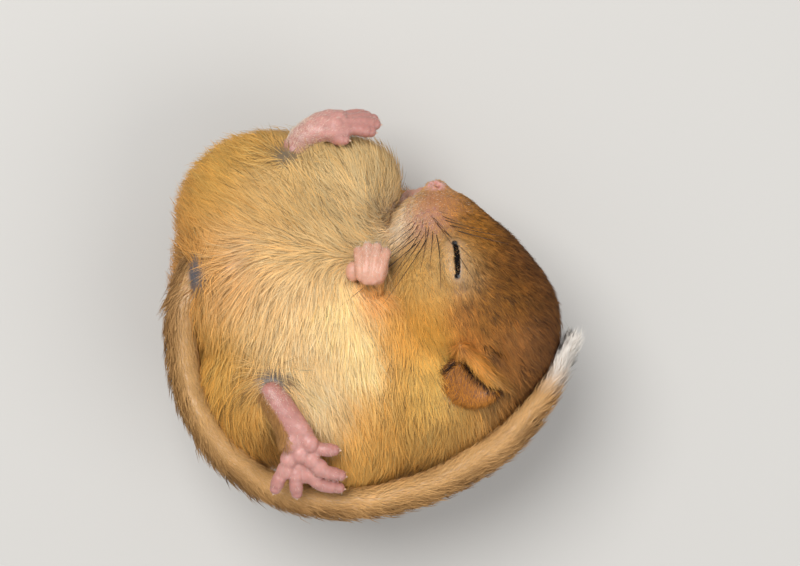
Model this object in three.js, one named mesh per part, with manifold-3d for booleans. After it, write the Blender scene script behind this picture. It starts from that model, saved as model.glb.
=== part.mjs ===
// A hazel dormouse asleep, curled up on its back, at life size.
// Millimetres, +Z up, origin on the floor under the middle of the animal.
// The belly and the left cheek face up, the nose points to +Y, and the tail goes round the body.
// The outline is that of the coat: every radius reaches to the tips of the fur.
import * as THREE from "three";
import { mergeVertices } from "three/addons/utils/BufferGeometryUtils.js";
import Module from "manifold-3d";

const wasm = await Module();
wasm.setup();

// Driving dimensions
const HEAD_LENGTH = 29; // nose tip to nape, with the fur
const SEAM = 0.3; // thin cut between two parts of the body
const CLEARANCE = 0.36; // between the body and what lies on it
const CREASE = 0.9; // how softly two parts of the body run into each other, between them
const BODY_CELL = 3.2;
const HEAD_CELL = 2.15;
const SEAM_CELL = 4.2;

const FUR = { tan: "#c98f4a", orange: "#bd7a35", brown: "#8f5a2b", pale: "#dcb87c" };
const SKIN = { pink: "#dba595", nose: "#d59a92" };

const v = (x, y, z) => new THREE.Vector3(x, y, z);

// Signed distances, in millimetres
const ball = (centre, radii) => (p) => {
  const dx = p.x - centre.x;
  const dy = p.y - centre.y;
  const dz = p.z - centre.z;
  const k = Math.hypot(dx / radii.x, dy / radii.y, dz / radii.z);
  const g = Math.hypot(dx / radii.x ** 2, dy / radii.y ** 2, dz / radii.z ** 2);
  return g < 1e-9 ? -Math.min(radii.x, radii.y, radii.z) : (k * (k - 1)) / g;
};

const limb = (a, b, ra, rb) => {
  const along = b.clone().sub(a);
  const length2 = along.lengthSq();
  return (p) => {
    const q = p.clone().sub(a);
    const t = THREE.MathUtils.clamp(q.dot(along) / length2, 0, 1);
    return q.addScaledVector(along, -t).length() - (ra + (rb - ra) * t);
  };
};

// Soft union: the surfaces run together over about twice the softness
const blend = (softness, shapes) => (p) => {
  const d = shapes.map((shape) => shape(p));
  const least = Math.min(...d);
  const sum = d.reduce((s, x) => s + Math.exp((least - x) / softness), 0);
  return least - softness * Math.log(sum);
};

// The head has its own axes: back from the nose tip, up to the crown, and to the animal's left
const NOSE_TIP = v(8.1, 17.6, 18.6);
const BACK = v(0.41, -0.91, 0.07).normalize();
const LEFT = v(0.02, 0.09, 1).cross(BACK).cross(BACK).negate().normalize();
const CROWN = BACK.clone().cross(LEFT).negate().normalize();
const inHead = (back, up, left) =>
  NOSE_TIP.clone().addScaledVector(BACK, back).addScaledVector(CROWN, up).addScaledVector(LEFT, left);

const headBall = (centre, radii) => {
  const shape = ball(v(0, 0, 0), radii);
  const middle = inHead(centre.x, centre.y, centre.z);
  return (p) => {
    const q = p.clone().sub(middle);
    return shape(v(q.dot(BACK), q.dot(CROWN), q.dot(LEFT)));
  };
};

const head = blend(1.5, [
  headBall(v(6.4, -1.3, 0), v(6.0, 5.6, 4.8)), // muzzle
  headBall(v(13.4, -0.9, 0), v(8.6, 8.6, 7.8)), // face
  headBall(v(HEAD_LENGTH - 9.6, 1.0, 0), v(9.2, 8.5, 8.8)), // cranium
  headBall(v(14.6, -5.4, 3.0), v(7.6, 6.4, 5.8)), // left cheek
  headBall(v(14.2, -4.8, -3.0), v(6.8, 5.4, 5.4)), // right cheek
]);

const neck = limb(v(16.6, -3.6, 18.2), v(13.4, -8.8, 15.6), 8.4, 9.0);

const trunk = blend(2.2, [
  ball(v(-5.6, 0.8, 14.6), v(15.2, 16.2, 14.6)), // belly and back
  ball(v(5.2, -8.2, 12.6), v(13.2, 11.8, 12.4)), // chest
  ball(v(-1.6, -10.2, 13.8), v(10.4, 13.2, 11.8)), // left flank
  ball(v(2.4, 2.6, 8.2), v(9.0, 9.2, 8.2)), // right shoulder, under the chin
  ball(v(-15.2, 5.0, 14.0), v(10.9, 11.0, 12.6)), // rump
]);

const legs = {
  foreleg_left: blend(1.4, [
    limb(v(9.0, -12.4, 15.0), v(7.4, -8.8, 19.6), 8.6, 7.2), // upper arm
    limb(v(7.6, -9.2, 20.2), v(1.2, 1.8, 26.0), 6.8, 2.6), // forearm
  ]),
  foreleg_right: blend(1.0, [
    limb(v(6.2, 6.6, 6.2), v(3.4, 13.0, 6.6), 5.6, 4.4), // upper arm
    limb(v(3.4, 13.0, 6.6), v(5.4, 13.4, 9.8), 4.0, 2.3), // forearm
  ]),
  hindleg_left: blend(1.6, [
    ball(v(-13.8, -7.8, 13.2), v(10.2, 11.2, 11.8)), // haunch
    limb(v(-14.6, -14.2, 15.6), v(-12.4, -10.8, 23.6), 4.9, 2.5), // knee and shin
  ]),
  hindleg_right: blend(1.8, [
    ball(v(-14.0, 13.0, 14.0), v(11.4, 11.6, 11.8)), // haunch
    limb(v(-9.6, 15.4, 18.2), v(-1.6, 16.4, 18.0), 7.8, 6.6), // thigh and knee
    limb(v(-2.0, 18.4, 14.0), v(-9.0, 20.8, 18.8), 4.4, 2.7), // shin
  ]),
};

const BODY = { head, neck, trunk, ...legs };
const everything = blend(CREASE, Object.values(BODY));
const body = (p) => Math.max(everything(p), -p.z); // the floor makes small flats

// A grid cell: its corners, the edges between them, and the edges of each face
const CORNERS = [0, 1, 2, 3, 4, 5, 6, 7].map((c) => [c & 1, (c >> 1) & 1, c >> 2]);
const EDGES = CORNERS.flatMap((a, i) => [1, 2, 4].filter((bit) => !(i & bit)).map((bit) => [i, i | bit]));
const edgesOfFace = (axis, side) =>
  [...EDGES.keys()].filter((e) => EDGES[e].every((c) => CORNERS[c][axis] === side));
const FACES = [0, 1, 2].flatMap((axis) => [edgesOfFace(axis, 0), edgesOfFace(axis, 1)]);

// Sheets of the surface in one cell: for each of its edges the sheet that crosses it, or -1
function sheetsOf(inside) {
  const sheet = EDGES.map(([a, b], e) => (inside[a] === inside[b] ? -1 : e));
  const join = (e, f) => {
    const [from, to] = [sheet[e], sheet[f]];
    sheet.forEach((s, i) => (sheet[i] = s === from ? to : s));
  };
  for (const face of FACES) {
    const crossed = face.filter((e) => sheet[e] >= 0);
    if (crossed.length === 2) join(...crossed);
    if (crossed.length < 4) continue;
    const corners = new Set(crossed.flatMap((e) => EDGES[e]).filter((c) => inside[c]));
    for (const corner of corners) join(...crossed.filter((e) => EDGES[e].includes(corner)));
  }
  return sheet;
}

// How fast a field grows at a place, and in which direction
function slope(field, p) {
  const e = 0.05;
  const steps = [v(e, 0, 0), v(0, e, 0), v(0, 0, e)];
  const differences = steps.map((step) => field(p.clone().add(step)) - field(p.clone().sub(step)));
  return v(...differences).divideScalar(2 * e);
}

// Closed surface of a field inside a box: one vertex for each sheet in each cell that the surface
// crosses, pulled onto the surface, and one quad round each grid edge that it crosses
function surfaceOf(field, low, high, cell) {
  const n = [0, 1, 2].map((i) => Math.ceil((high.getComponent(i) - low.getComponent(i)) / cell) + 1);
  const index = (i, j, k) => i + n[0] * (j + n[1] * k);
  const at = (i, j, k) => v(low.x + i * cell, low.y + j * cell, low.z + k * cell);
  const value = new Float64Array(n[0] * n[1] * n[2]).fill(1);
  for (let k = 1; k < n[2] - 1; k++)
    for (let j = 1; j < n[1] - 1; j++)
      for (let i = 1; i < n[0] - 1; i++) value[index(i, j, k)] = field(at(i, j, k)) || 1e-9;

  const pulled = (p, centre) => {
    for (let pull = 0; pull < 3; pull++) {
      const g = slope(field, p);
      p.addScaledVector(g, -field(p) / Math.max(g.lengthSq(), 0.2));
      p.clamp(centre.clone().subScalar(cell * 0.49), centre.clone().addScalar(cell * 0.49));
    }
    return p;
  };

  const positions = [];
  const cells = new Map();
  const verticesOf = (i, j, k) => {
    const key = index(i, j, k);
    if (cells.has(key)) return cells.get(key);
    const values = CORNERS.map(([x, y, z]) => value[index(i + x, j + y, k + z)]);
    const sheet = sheetsOf(values.map((d) => d < 0));
    const vertex = EDGES.map(() => -1);
    for (const s of new Set(sheet.filter((x) => x >= 0))) {
      const crossed = [...EDGES.keys()].filter((e) => sheet[e] === s);
      const middle = v(0, 0, 0);
      for (const [a, b] of crossed.map((e) => EDGES[e])) {
        const [pa, pb] = [a, b].map((c) => at(i + CORNERS[c][0], j + CORNERS[c][1], k + CORNERS[c][2]));
        middle.addScaledVector(pa.lerp(pb, values[a] / (values[a] - values[b])), 1 / crossed.length);
      }
      const p = pulled(middle, at(i + 0.5, j + 0.5, k + 0.5));
      for (const e of crossed) vertex[e] = positions.length / 3;
      positions.push(p.x, p.y, p.z);
    }
    cells.set(key, vertex);
    return vertex;
  };

  // The four cells round a grid edge along an axis, and that edge's place in each of them
  const faces = [];
  const round = [[0, 0], [1, 0], [1, 1], [0, 1]];
  for (let k = 0; k < n[2] - 1; k++)
    for (let j = 0; j < n[1] - 1; j++)
      for (let i = 0; i < n[0] - 1; i++)
        for (const axis of [0, 1, 2]) {
          const next = [i, j, k];
          next[axis] += 1;
          const here = value[index(i, j, k)] < 0;
          if (here === value[index(...next)] < 0) continue;
          const [b, c] = [(axis + 1) % 3, (axis + 2) % 3];
          const quad = round.map(([db, dc]) => {
            const cellAt = [i, j, k];
            cellAt[b] -= db;
            cellAt[c] -= dc;
            const start = (db << b) | (dc << c);
            const edge = EDGES.findIndex(([from, to]) => from === start && to === (start | (1 << axis)));
            return verticesOf(...cellAt)[edge];
          });
          const [p, q, r, s] = here ? quad : quad.reverse();
          faces.push(p, q, r, p, r, s);
        }
  return indexed(positions, faces);
}

function indexed(positions, faces) {
  const geometry = new THREE.BufferGeometry().setIndex(faces);
  return geometry.setAttribute("position", new THREE.Float32BufferAttribute(positions, 3));
}

// The same surface with each vertex moved out
function grown(geometry, distance) {
  const out = geometry.clone();
  out.computeVertexNormals();
  const { position, normal } = out.attributes;
  position.array.forEach((x, i) => (position.array[i] = x + normal.array[i] * distance));
  return out;
}

// From three.js meshes to solids that can be joined and cut, and back
function solid(geometry) {
  geometry.deleteAttribute("normal");
  geometry.deleteAttribute("uv");
  const merged = mergeVertices(geometry, 1e-4);
  const vertProperties = merged.attributes.position.array;
  const triVerts = new Uint32Array(merged.index.array);
  return new wasm.Manifold(new wasm.Mesh({ numProp: 3, vertProperties, triVerts }));
}

const largest = (made) => made.decompose().sort((a, b) => b.volume() - a.volume())[0];
const joined = (solids) => solids.reduce((a, b) => a.add(b));

function mesh(name, made, colour, roughness = 0.85) {
  const { vertProperties, triVerts } = largest(made).getMesh();
  const geometry = new THREE.BufferGeometry()
    .setAttribute("position", new THREE.BufferAttribute(vertProperties, 3))
    .setIndex(new THREE.BufferAttribute(triVerts, 1));
  geometry.computeVertexNormals();
  const made3 = new THREE.Mesh(geometry, new THREE.MeshStandardMaterial({ color: colour, roughness }));
  made3.name = name;
  return made3;
}

// Small shapes: an ellipsoid, and a tube along a line with flat ends.
// A station of the tube is its place along the line, half its width, and half its height along up.
function pebble(centre, radii, turn = new THREE.Quaternion(), sides = 10) {
  const geometry = new THREE.SphereGeometry(1, sides, Math.ceil(sides * 0.6));
  geometry.scale(radii.x, radii.y, radii.z).applyQuaternion(turn);
  return solid(geometry.translate(centre.x, centre.y, centre.z));
}

function tube(line, up, stations, sides) {
  const positions = [];
  const faces = [];
  stations.forEach(([t, wide, high = wide], i) => {
    const along = line.getTangentAt(t);
    const across = along.clone().cross(up).normalize();
    const over = across.clone().cross(along);
    for (let j = 0; j < sides; j++) {
      const angle = (j / sides) * 2 * Math.PI;
      const q = line.getPointAt(t);
      q.addScaledVector(across, Math.cos(angle) * wide).addScaledVector(over, Math.sin(angle) * high);
      positions.push(q.x, q.y, q.z);
      if (i === 0) continue;
      const [a, b] = [i * sides + j, i * sides + ((j + 1) % sides)];
      faces.push(a, b - sides, a - sides, a, b, b - sides);
    }
  });
  const last = (stations.length - 1) * sides;
  for (let j = 1; j < sides - 1; j++) faces.push(0, j, j + 1, last, last + j + 1, last + j);
  return solid(indexed(positions, faces));
}

const DIGIT = [[0, 0.8], [0.3, 1], [0.8, 0.9], [1, 0.45]];
const digit = (points, radius, up) =>
  tube(new THREE.CatmullRomCurve3(points), up, DIGIT.map(([t, share]) => [t, share * radius]), 6);

// The body's surface, coarse all over and finer on the head, and the same a clearance further out
const LOW = v(-31, -27, -4);
const HIGH = v(29, 31, 34);
const HEAD_LOW = v(-3, -15, 5);
const HEAD_HIGH = v(29, 23, 34);
const inBox = (low, high, inset) => (p) =>
  Math.max(low.x - p.x, low.y - p.y, low.z - p.z, p.x - high.x, p.y - high.y, p.z - high.z) + inset;
const headBox = inBox(HEAD_LOW, HEAD_HIGH, HEAD_CELL * 2);
const coarse = surfaceOf(body, LOW, HIGH, BODY_CELL);
const fine = surfaceOf((p) => Math.max(body(p), headBox(p)), HEAD_LOW, HEAD_HIGH, HEAD_CELL);
const [bodySurface, headSurface] = [coarse, fine].map((surface) => solid(surface.clone()));
const [bodyGrown, headGrown] = [coarse, fine].map((surface) => solid(grown(surface, CLEARANCE)));

// The space that lies nearer to one part of the body than to any other
function nearest(name) {
  const others = Object.keys(BODY).filter((other) => other !== name);
  return surfaceOf(
    (p) => Math.max(...others.map((other) => BODY[name](p) - BODY[other](p))) / 2,
    LOW.clone().subScalar(3),
    HIGH.clone().addScalar(3),
    SEAM_CELL,
  );
}

// Lies on the body, so it is cut back to its surface
const resting = (made) => made.subtract(bodyGrown).subtract(headGrown);

// The nearest place on the body, and the way out of the body there
function onBody(point) {
  const place = point.clone();
  for (let i = 0; i < 6; i++) {
    const out = slope(everything, place).normalize();
    place.addScaledVector(out, -everything(place));
  }
  return { place, out: slope(everything, place).normalize() };
}

// A turn that takes x to one direction and z as near as it can to another
function turned(x, z) {
  const y = z.clone().cross(x).normalize();
  const axes = new THREE.Matrix4().makeBasis(x, y, x.clone().cross(y));
  return new THREE.Quaternion().setFromRotationMatrix(axes);
}

// Nose pad with two nostrils
function nose() {
  const turn = turned(BACK, LEFT);
  const pad = pebble(inHead(1.6, 0.5, 0), v(1.9, 1.8, 2.1), turn, 10);
  const nostril = (side) => pebble(inHead(-0.1, 0.3, side * 1.1), v(0.5, 0.4, 0.4), turn, 6);
  return pad.subtract(joined([nostril(1), nostril(-1)]));
}

// Closed eye: two lids over the eyeball, with the slit between them
const EYE = { back: 11.3, up: -1.6, across: 7.6, slit: 4.8 };
const SLIT_ANGLE = THREE.MathUtils.degToRad(22); // the slit's front end is the higher
function closedEye(side) {
  const { place, out } = onBody(inHead(EYE.back, EYE.up, side * EYE.across));
  const along = BACK.clone().multiplyScalar(Math.cos(SLIT_ANGLE));
  along.addScaledVector(CROWN, -Math.sin(SLIT_ANGLE));
  along.addScaledVector(out, -along.dot(out)).normalize();
  const turn = turned(along, out);
  const lids = pebble(place, v(EYE.slit * 0.6, EYE.slit * 0.42, 1.1), turn, 10);
  const slit = pebble(place.clone().addScaledVector(out, 1.2), v(EYE.slit / 2, 0.35, 0.5), turn, 8);
  return lids.subtract(slit);
}

// Ear: a shallow cup with a thick rim, lying back on the fur.
// Its profile is given in shares of the radius, from the middle of the back round to the hollow.
const EAR = { length: 3.3, width: 3.9, depth: 1.3, wall: 0.9 };
function ear(point, tip) {
  const { place, out } = onBody(point);
  const across = tip.clone().cross(out).normalize();
  const profile = [
    [0, -EAR.wall],
    [0.8, -EAR.wall * 0.6],
    [1, EAR.depth * 0.6],
    [0.93, EAR.depth],
    [0.8, EAR.depth * 0.7],
    [0.55, 0.2],
    [0, 0],
  ].map(([r, h]) => new THREE.Vector2(r, h));
  const geometry = new THREE.LatheGeometry(profile, 16).rotateX(Math.PI / 2);
  geometry.scale(EAR.width, EAR.length, 1).applyQuaternion(turned(across, out));
  const at = place.clone().addScaledVector(out, EAR.wall * 1.3);
  return solid(geometry.translate(at.x, at.y, at.z));
}

// A hind foot from heel to toes, with the pads of the sole. The big toe is a short stub.
const TOE_RADIUS = 0.86;
function hindFoot({ sole, up, toes, thumb, pads }) {
  const stations = [[0, 1.15], [0.15, 1.6, 1.4], [0.45, 1.85, 1.4], [0.8, 2.45, 1.4], [1, 2.1, 0.9]];
  const base = tube(new THREE.CatmullRomCurve3(sole), up, stations, 8);
  const cushions = pads.map((pad) => pebble(pad, v(1.0, 1.2, 0.8), undefined, 6));
  const digits = toes.map((points) => digit(points, TOE_RADIUS, up));
  return joined([base, ...cushions, ...digits, digit(thumb, TOE_RADIUS, up)]);
}

// A forepaw closed to a fist: palm, and four fingers folded over it
const FINGER_RADIUS = 0.72;
function fist({ wrist, knuckles, spread, tips, up }) {
  const palm = tube(
    new THREE.CatmullRomCurve3([wrist, wrist.clone().lerp(knuckles, 0.5), knuckles]),
    up,
    [[0, 1.6, 1.3], [0.4, 2.4, 1.5], [0.8, 2.5, 1.3], [1, 2.1, 0.7]],
    8,
  );
  const fingers = [-1.5, -0.5, 0.5, 1.5].map((place) => {
    const shift = spread.clone().multiplyScalar(place);
    const bend = knuckles.clone().add(shift);
    const tip = tips.clone().addScaledVector(shift, 0.95);
    return digit([bend, bend.clone().lerp(tip, 0.4).addScaledVector(up, 0.5), tip], FINGER_RADIUS, up);
  });
  return joined([palm, ...fingers]);
}

const FOOT_LEFT = {
  up: v(0.05, -0.15, 1).normalize(),
  sole: [v(-11.9, -9.3, 25.8), v(-10.4, -11.6, 26.2), v(-8.9, -14.4, 26.0), v(-7.8, -17.9, 25.0)],
  pads: [v(-8.6, -14.0, 27.1), v(-6.9, -16.3, 26.6), v(-9.0, -17.4, 26.3)],
  toes: [
    [v(-7.2, -17.6, 25.2), v(-5.6, -19.2, 25.3), v(-3.2, -19.9, 24.6)],
    [v(-7.8, -18.0, 24.8), v(-6.0, -20.3, 24.6), v(-3.4, -21.4, 23.6)],
    [v(-8.5, -18.4, 24.6), v(-8.9, -20.4, 24.9), v(-8.8, -22.2, 24.1)],
    [v(-9.3, -17.9, 24.8), v(-10.8, -19.9, 25.0), v(-11.5, -21.7, 24.3)],
  ],
  thumb: [v(-7.2, -16.0, 25.4), v(-5.4, -16.5, 26.0), v(-4.0, -16.6, 25.9)],
};

const FOOT_RIGHT = {
  up: v(-0.1, 0.6, 0.8).normalize(),
  sole: [v(-9.4, 20.8, 20.2), v(-8.4, 23.2, 21.0), v(-6.0, 24.8, 21.2), v(-3.0, 25.4, 20.6)],
  pads: [v(-7.0, 24.6, 22.0), v(-4.0, 25.0, 21.8), v(-3.6, 25.8, 21.1)],
  toes: [
    [v(-3.4, 24.6, 20.8), v(-1.4, 24.6, 21.0), v(0.6, 24.3, 20.4)],
    [v(-3.2, 25.1, 20.5), v(-1.0, 25.4, 20.5), v(1.2, 25.3, 19.8)],
    [v(-3.4, 25.5, 19.8), v(-1.2, 26.0, 19.7), v(0.9, 26.0, 18.9)],
    [v(-3.8, 25.7, 19.2), v(-2.0, 26.5, 18.7), v(0.0, 26.5, 17.7)],
  ],
  thumb: [v(-5.0, 24.2, 20.9), v(-3.9, 23.4, 21.5), v(-2.8, 23.2, 21.6)],
};

const PAW_LEFT = {
  wrist: v(0.8, 4.8, 26.6),
  knuckles: v(0.9, 8.6, 27.2),
  spread: v(1.14, -0.05, 0.1),
  tips: v(0.6, 5.2, 28.6),
  up: v(0, -0.1, 1).normalize(),
};

const PAW_RIGHT = {
  wrist: v(5.4, 12.8, 10.2),
  knuckles: v(6.6, 16.2, 10.6),
  spread: v(1.0, 0.3, -0.2),
  tips: v(5.6, 13.6, 12.4),
  up: v(-0.35, -0.2, 0.9).normalize(),
};

// The tail: round, of even thickness, with a tuft at the end.
// Its middle line runs from the rump round to the nape.
const TAIL_LINE = new THREE.CatmullRomCurve3([
  v(-17.0, 10.5, 16.0),
  v(-21.2, 7.2, 17.8),
  v(-23.4, 2.5, 19.0),
  v(-23.8, -2.8, 19.4),
  v(-23.1, -8.0, 20.0),
  v(-21.2, -13.0, 20.6),
  v(-17.9, -17.6, 20.4),
  v(-13.0, -21.4, 19.6),
  v(-7.2, -23.4, 19.4),
  v(-0.8, -23.7, 19.6),
  v(5.3, -22.6, 20.0),
  v(9.6, -20.9, 20.6),
  v(14.0, -18.5, 21.2),
  v(17.8, -15.8, 21.4),
  v(21.1, -12.4, 21.4),
  v(23.5, -9.0, 21.4),
  v(24.9, -6.6, 21.4),
  v(26.3, -3.4, 21.4),
]);
const TAIL_RADIUS = 2.7;
const TAIL_LENGTHS = {
  tail_base: [0.01, 0.28],
  tail_middle: [0.28, 0.57],
  tail_end: [0.57, 0.86],
  tail_tuft: [0.86, 1],
};
function tailRadius(t) {
  const root = 1.0 * Math.exp(-t / 0.09);
  const tip = (TAIL_RADIUS - 0.35) * THREE.MathUtils.smoothstep(t, 0.86, 1.0);
  return TAIL_RADIUS + root - tip;
}

function tailLength(from, to) {
  const gap = SEAM / TAIL_LINE.getLength() / 2;
  const steps = Math.ceil((to - from) * 30);
  const stations = [];
  for (let i = 0; i <= steps; i++) {
    const t = THREE.MathUtils.lerp(from + gap, to - gap, i / steps);
    stations.push([t, tailRadius(t)]);
  }
  return tube(TAIL_LINE, v(0, 0, 1), stations, 8);
}

const eyes = { eye_left: closedEye(1), eye_right: closedEye(-1) };
const colours = {
  head: FUR.tan,
  neck: FUR.brown,
  trunk: FUR.pale,
  foreleg_left: FUR.tan,
  foreleg_right: FUR.tan,
  hindleg_left: FUR.orange,
  hindleg_right: FUR.orange,
};

// The parts are cut off one after another with thin cuts, and the trunk is what is left
const dormouse = new THREE.Group();
const nodes = [];
let trunkLeft = bodySurface;
for (const name of Object.keys(BODY).filter((part) => part !== "trunk")) {
  const surface = nearest(name);
  const space = solid(surface.clone());
  const whole = name === "head" ? headSurface : trunkLeft;
  nodes.push(mesh(name, whole.intersect(space), colours[name]));
  trunkLeft = trunkLeft.subtract(space.add(solid(grown(surface, SEAM))));
}
nodes.push(mesh("trunk", trunkLeft, colours.trunk));
nodes.push(mesh("nose", resting(nose()), SKIN.nose, 0.5));
for (const [name, eye] of Object.entries(eyes)) nodes.push(mesh(name, resting(eye), FUR.tan));

nodes.push(mesh("ear_left", resting(ear(v(14.2, -8.6, 28), v(-0.25, -0.97, 0))), FUR.orange));
nodes.push(mesh("ear_right", resting(ear(v(20.4, -2.6, 9.6), v(0.3, -0.95, 0))), FUR.orange));

const feet = {
  foot_left: hindFoot(FOOT_LEFT),
  foot_right: hindFoot(FOOT_RIGHT),
  paw_left: fist(PAW_LEFT),
  paw_right: fist(PAW_RIGHT),
};
for (const [name, foot] of Object.entries(feet)) nodes.push(mesh(name, resting(foot), SKIN.pink, 0.5));

for (const [name, [from, to]] of Object.entries(TAIL_LENGTHS)) {
  const length = resting(tailLength(from, to)).subtract(feet.foot_left);
  nodes.push(mesh(name, length, FUR.tan));
}

dormouse.add(...nodes);

export default dormouse;
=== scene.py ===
"""A sleeping hazel dormouse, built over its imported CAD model: skin, coat, eyes, whiskers and claws.

Shapes are worked out in millimetres, and a mesh is turned into metres when it is made.
"""

import math

import bmesh
import bpy
import numpy as np
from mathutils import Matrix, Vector, kdtree


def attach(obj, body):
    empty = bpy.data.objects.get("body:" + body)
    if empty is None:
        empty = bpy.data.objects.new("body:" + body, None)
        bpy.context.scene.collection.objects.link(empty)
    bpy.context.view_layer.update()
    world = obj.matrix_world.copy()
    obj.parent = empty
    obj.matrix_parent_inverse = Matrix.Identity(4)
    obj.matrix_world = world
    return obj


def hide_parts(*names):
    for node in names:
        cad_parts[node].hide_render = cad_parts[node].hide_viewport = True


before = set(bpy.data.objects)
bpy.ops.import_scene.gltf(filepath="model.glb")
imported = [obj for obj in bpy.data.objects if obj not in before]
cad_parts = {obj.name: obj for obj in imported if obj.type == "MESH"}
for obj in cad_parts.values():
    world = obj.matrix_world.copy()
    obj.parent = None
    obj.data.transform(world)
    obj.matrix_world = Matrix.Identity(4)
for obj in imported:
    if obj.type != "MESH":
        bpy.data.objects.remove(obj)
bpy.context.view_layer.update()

MM = 0.001
rng = np.random.default_rng(11)

# Camera, straight above the animal: place and lens in millimetres
CAMERA_PLACE = (4.42, 4.68, 320.0)
CAMERA_LENS = 103.95

# Skin
CREASE = 0.9  # how softly two parts of the body run into each other
SKIN_CELL = 0.5  # size of the grid that the skin is drawn from
FLOOR_GAP = 0.25  # the skin stays this far above the floor

# Coat
PATCH = 0.0015  # half the width of a tuft's patch on the skin's unwrap
BENT_MOST = 19000  # tufts in one piece, at ten triangles each
SHORT_MOST = 45000  # tufts in one piece, at four triangles each


def vec(*xyz):
    return np.array(xyz, float)


def unit(v):
    v = np.asarray(v, float)
    return v / np.maximum(np.linalg.norm(v, axis=-1, keepdims=True), 1e-12)


def smooth(x, low, high):
    """From 0 at the low value to 1 at the high one."""
    t = np.clip((x - low) / (high - low), 0, 1)
    return t * t * (3 - 2 * t)


def nearness(p, place, reach):
    """From 1 at a place down to 0, with one reach or one for each axis."""
    return np.exp(-(((p - place) / reach) ** 2).sum(1) / 2)


def flattened(way, normal):
    """What is left of a way when it is laid along a surface."""
    return way - normal * (way * normal).sum(1, keepdims=True)


# Signed distances: each shape is a function of an array of points


def ball(centre, radii, axes=np.eye(3)):
    radii = vec(*radii)

    def distance(p):
        q = (p - centre) @ axes.T / radii
        k = np.linalg.norm(q, axis=1)
        g = np.maximum(np.linalg.norm(q / radii, axis=1), 1e-6)
        return k * (k - 1) / g

    return distance


def limb(a, b, ra, rb):
    a = np.asarray(a, float)
    along = np.asarray(b, float) - a
    length2 = along @ along

    def distance(p):
        q = p - a
        t = np.clip(q @ along / length2, 0, 1)
        return np.linalg.norm(q - t[:, None] * along, axis=1) - (ra + (rb - ra) * t)

    return distance


def nearest_of(shapes):
    return lambda p: np.min([shape(p) for shape in shapes], axis=0)


def chain(points, radii):
    """Round cones from point to point, with no blending."""
    return nearest_of([limb(*rest) for rest in zip(points[:-1], points[1:], radii[:-1], radii[1:])])


def within(shape, places, reach, margin=1.6):
    """The shape worked out only near its places. Elsewhere its box stands for it."""
    places = np.asarray(places, float).reshape(-1, 3)
    low, high = places.min(0) - reach - margin, places.max(0) + reach + margin

    def distance(p):
        outside = np.full(len(p), -1e9)
        for k in range(3):
            np.maximum(outside, low[k] - p[:, k], out=outside)
            np.maximum(outside, p[:, k] - high[k], out=outside)
        value = np.maximum(outside, 0) + margin
        near = outside < 0
        if near.any():
            value[near] = shape(p[near])
        return value

    return distance


def blend(softness, shapes):
    """Soft union: the surfaces run together over about twice the softness."""

    def distance(p):
        d = np.stack([shape(p) for shape in shapes])
        least = d.min(0)
        return least - softness * np.log(np.exp((least - d) / softness).sum(0))

    return distance


def carve(softness, shape, groove):
    return lambda p: -blend(softness, [lambda q: -shape(q), groove])(p)


def deeper(shape, depth):
    """The shape drawn in by the coat's depth, a number or a function of the point."""
    return lambda p: shape(p) + (depth(p) if callable(depth) else depth)


def slope(shape, p, step=0.05):
    """Gradient of a field, from the four corners of a small tetrahedron."""
    corners = np.array([(1, -1, -1), (-1, -1, 1), (-1, 1, -1), (1, 1, 1)], float)
    total = sum(k * shape(p + k * step)[:, None] for k in corners)
    return total / (4 * step)


def settle(shape, points, rounds=4):
    """The nearest places on a surface, and the way out of it there."""
    p = np.atleast_2d(np.asarray(points, float)).copy()
    for _ in range(rounds):
        g = slope(shape, p)
        p -= g * (shape(p) / np.maximum((g * g).sum(1), 0.2))[:, None]
    return p, unit(slope(shape, p))


def spline(points, count):
    """Evenly spaced points on a smooth curve through the given ones."""
    points = np.asarray(points, float)
    padded = np.vstack([2 * points[0] - points[1], points, 2 * points[-1] - points[-2]])
    t = np.linspace(0, 1, 12, endpoint=False)[:, None]
    parts = []
    for a, b, c, d in zip(padded[:-3], padded[1:-2], padded[2:-1], padded[3:]):
        second, third = 2 * a - 5 * b + 4 * c - d, 3 * b - a - 3 * c + d
        parts.append(b + ((c - a) * t + second * t**2 + third * t**3) / 2)
    fine = np.vstack(parts + [points[-1:]])
    run = np.concatenate([[0], np.cumsum(np.linalg.norm(np.diff(fine, axis=0), axis=1))])
    at = np.linspace(0, run[-1], count)
    return np.stack([np.interp(at, run, fine[:, k]) for k in range(3)], axis=1)


def tangents(line):
    return unit(np.gradient(line, axis=0))


# The head has its own axes: back from the nose tip, up to the crown, and to the animal's left
NOSE_TIP = vec(8.1, 17.6, 18.6)
BACK = unit(vec(0.41, -0.91, 0.07))
LEFT = unit(-np.cross(np.cross(vec(0.02, 0.09, 1), BACK), BACK))
CROWN = unit(-np.cross(BACK, LEFT))
HEAD_AXES = np.stack([BACK, CROWN, LEFT])


def in_head(back, up, left):
    return NOSE_TIP + BACK * back + CROWN * up + LEFT * left


def from_nose(p):
    """Points in the head's own axes."""
    return (p - NOSE_TIP) @ HEAD_AXES.T


def head_ball(centre, radii):
    return ball(in_head(*centre), radii, HEAD_AXES)


EYE = {"back": 11.3, "up": -1.6, "across": 7.6, "half": 2.05, "angle": math.radians(22)}


def head_depth(p):
    """The coat is thin on the muzzle and round the eyes."""
    q = from_nose(p)
    depth = 0.3 + 0.8 * smooth(q[:, 0], 2.5, 15)
    for side in (1, -1):
        depth -= 0.3 * nearness(q, (EYE["back"], EYE["up"], side * EYE["across"]), 2.6)
    return depth


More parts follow.
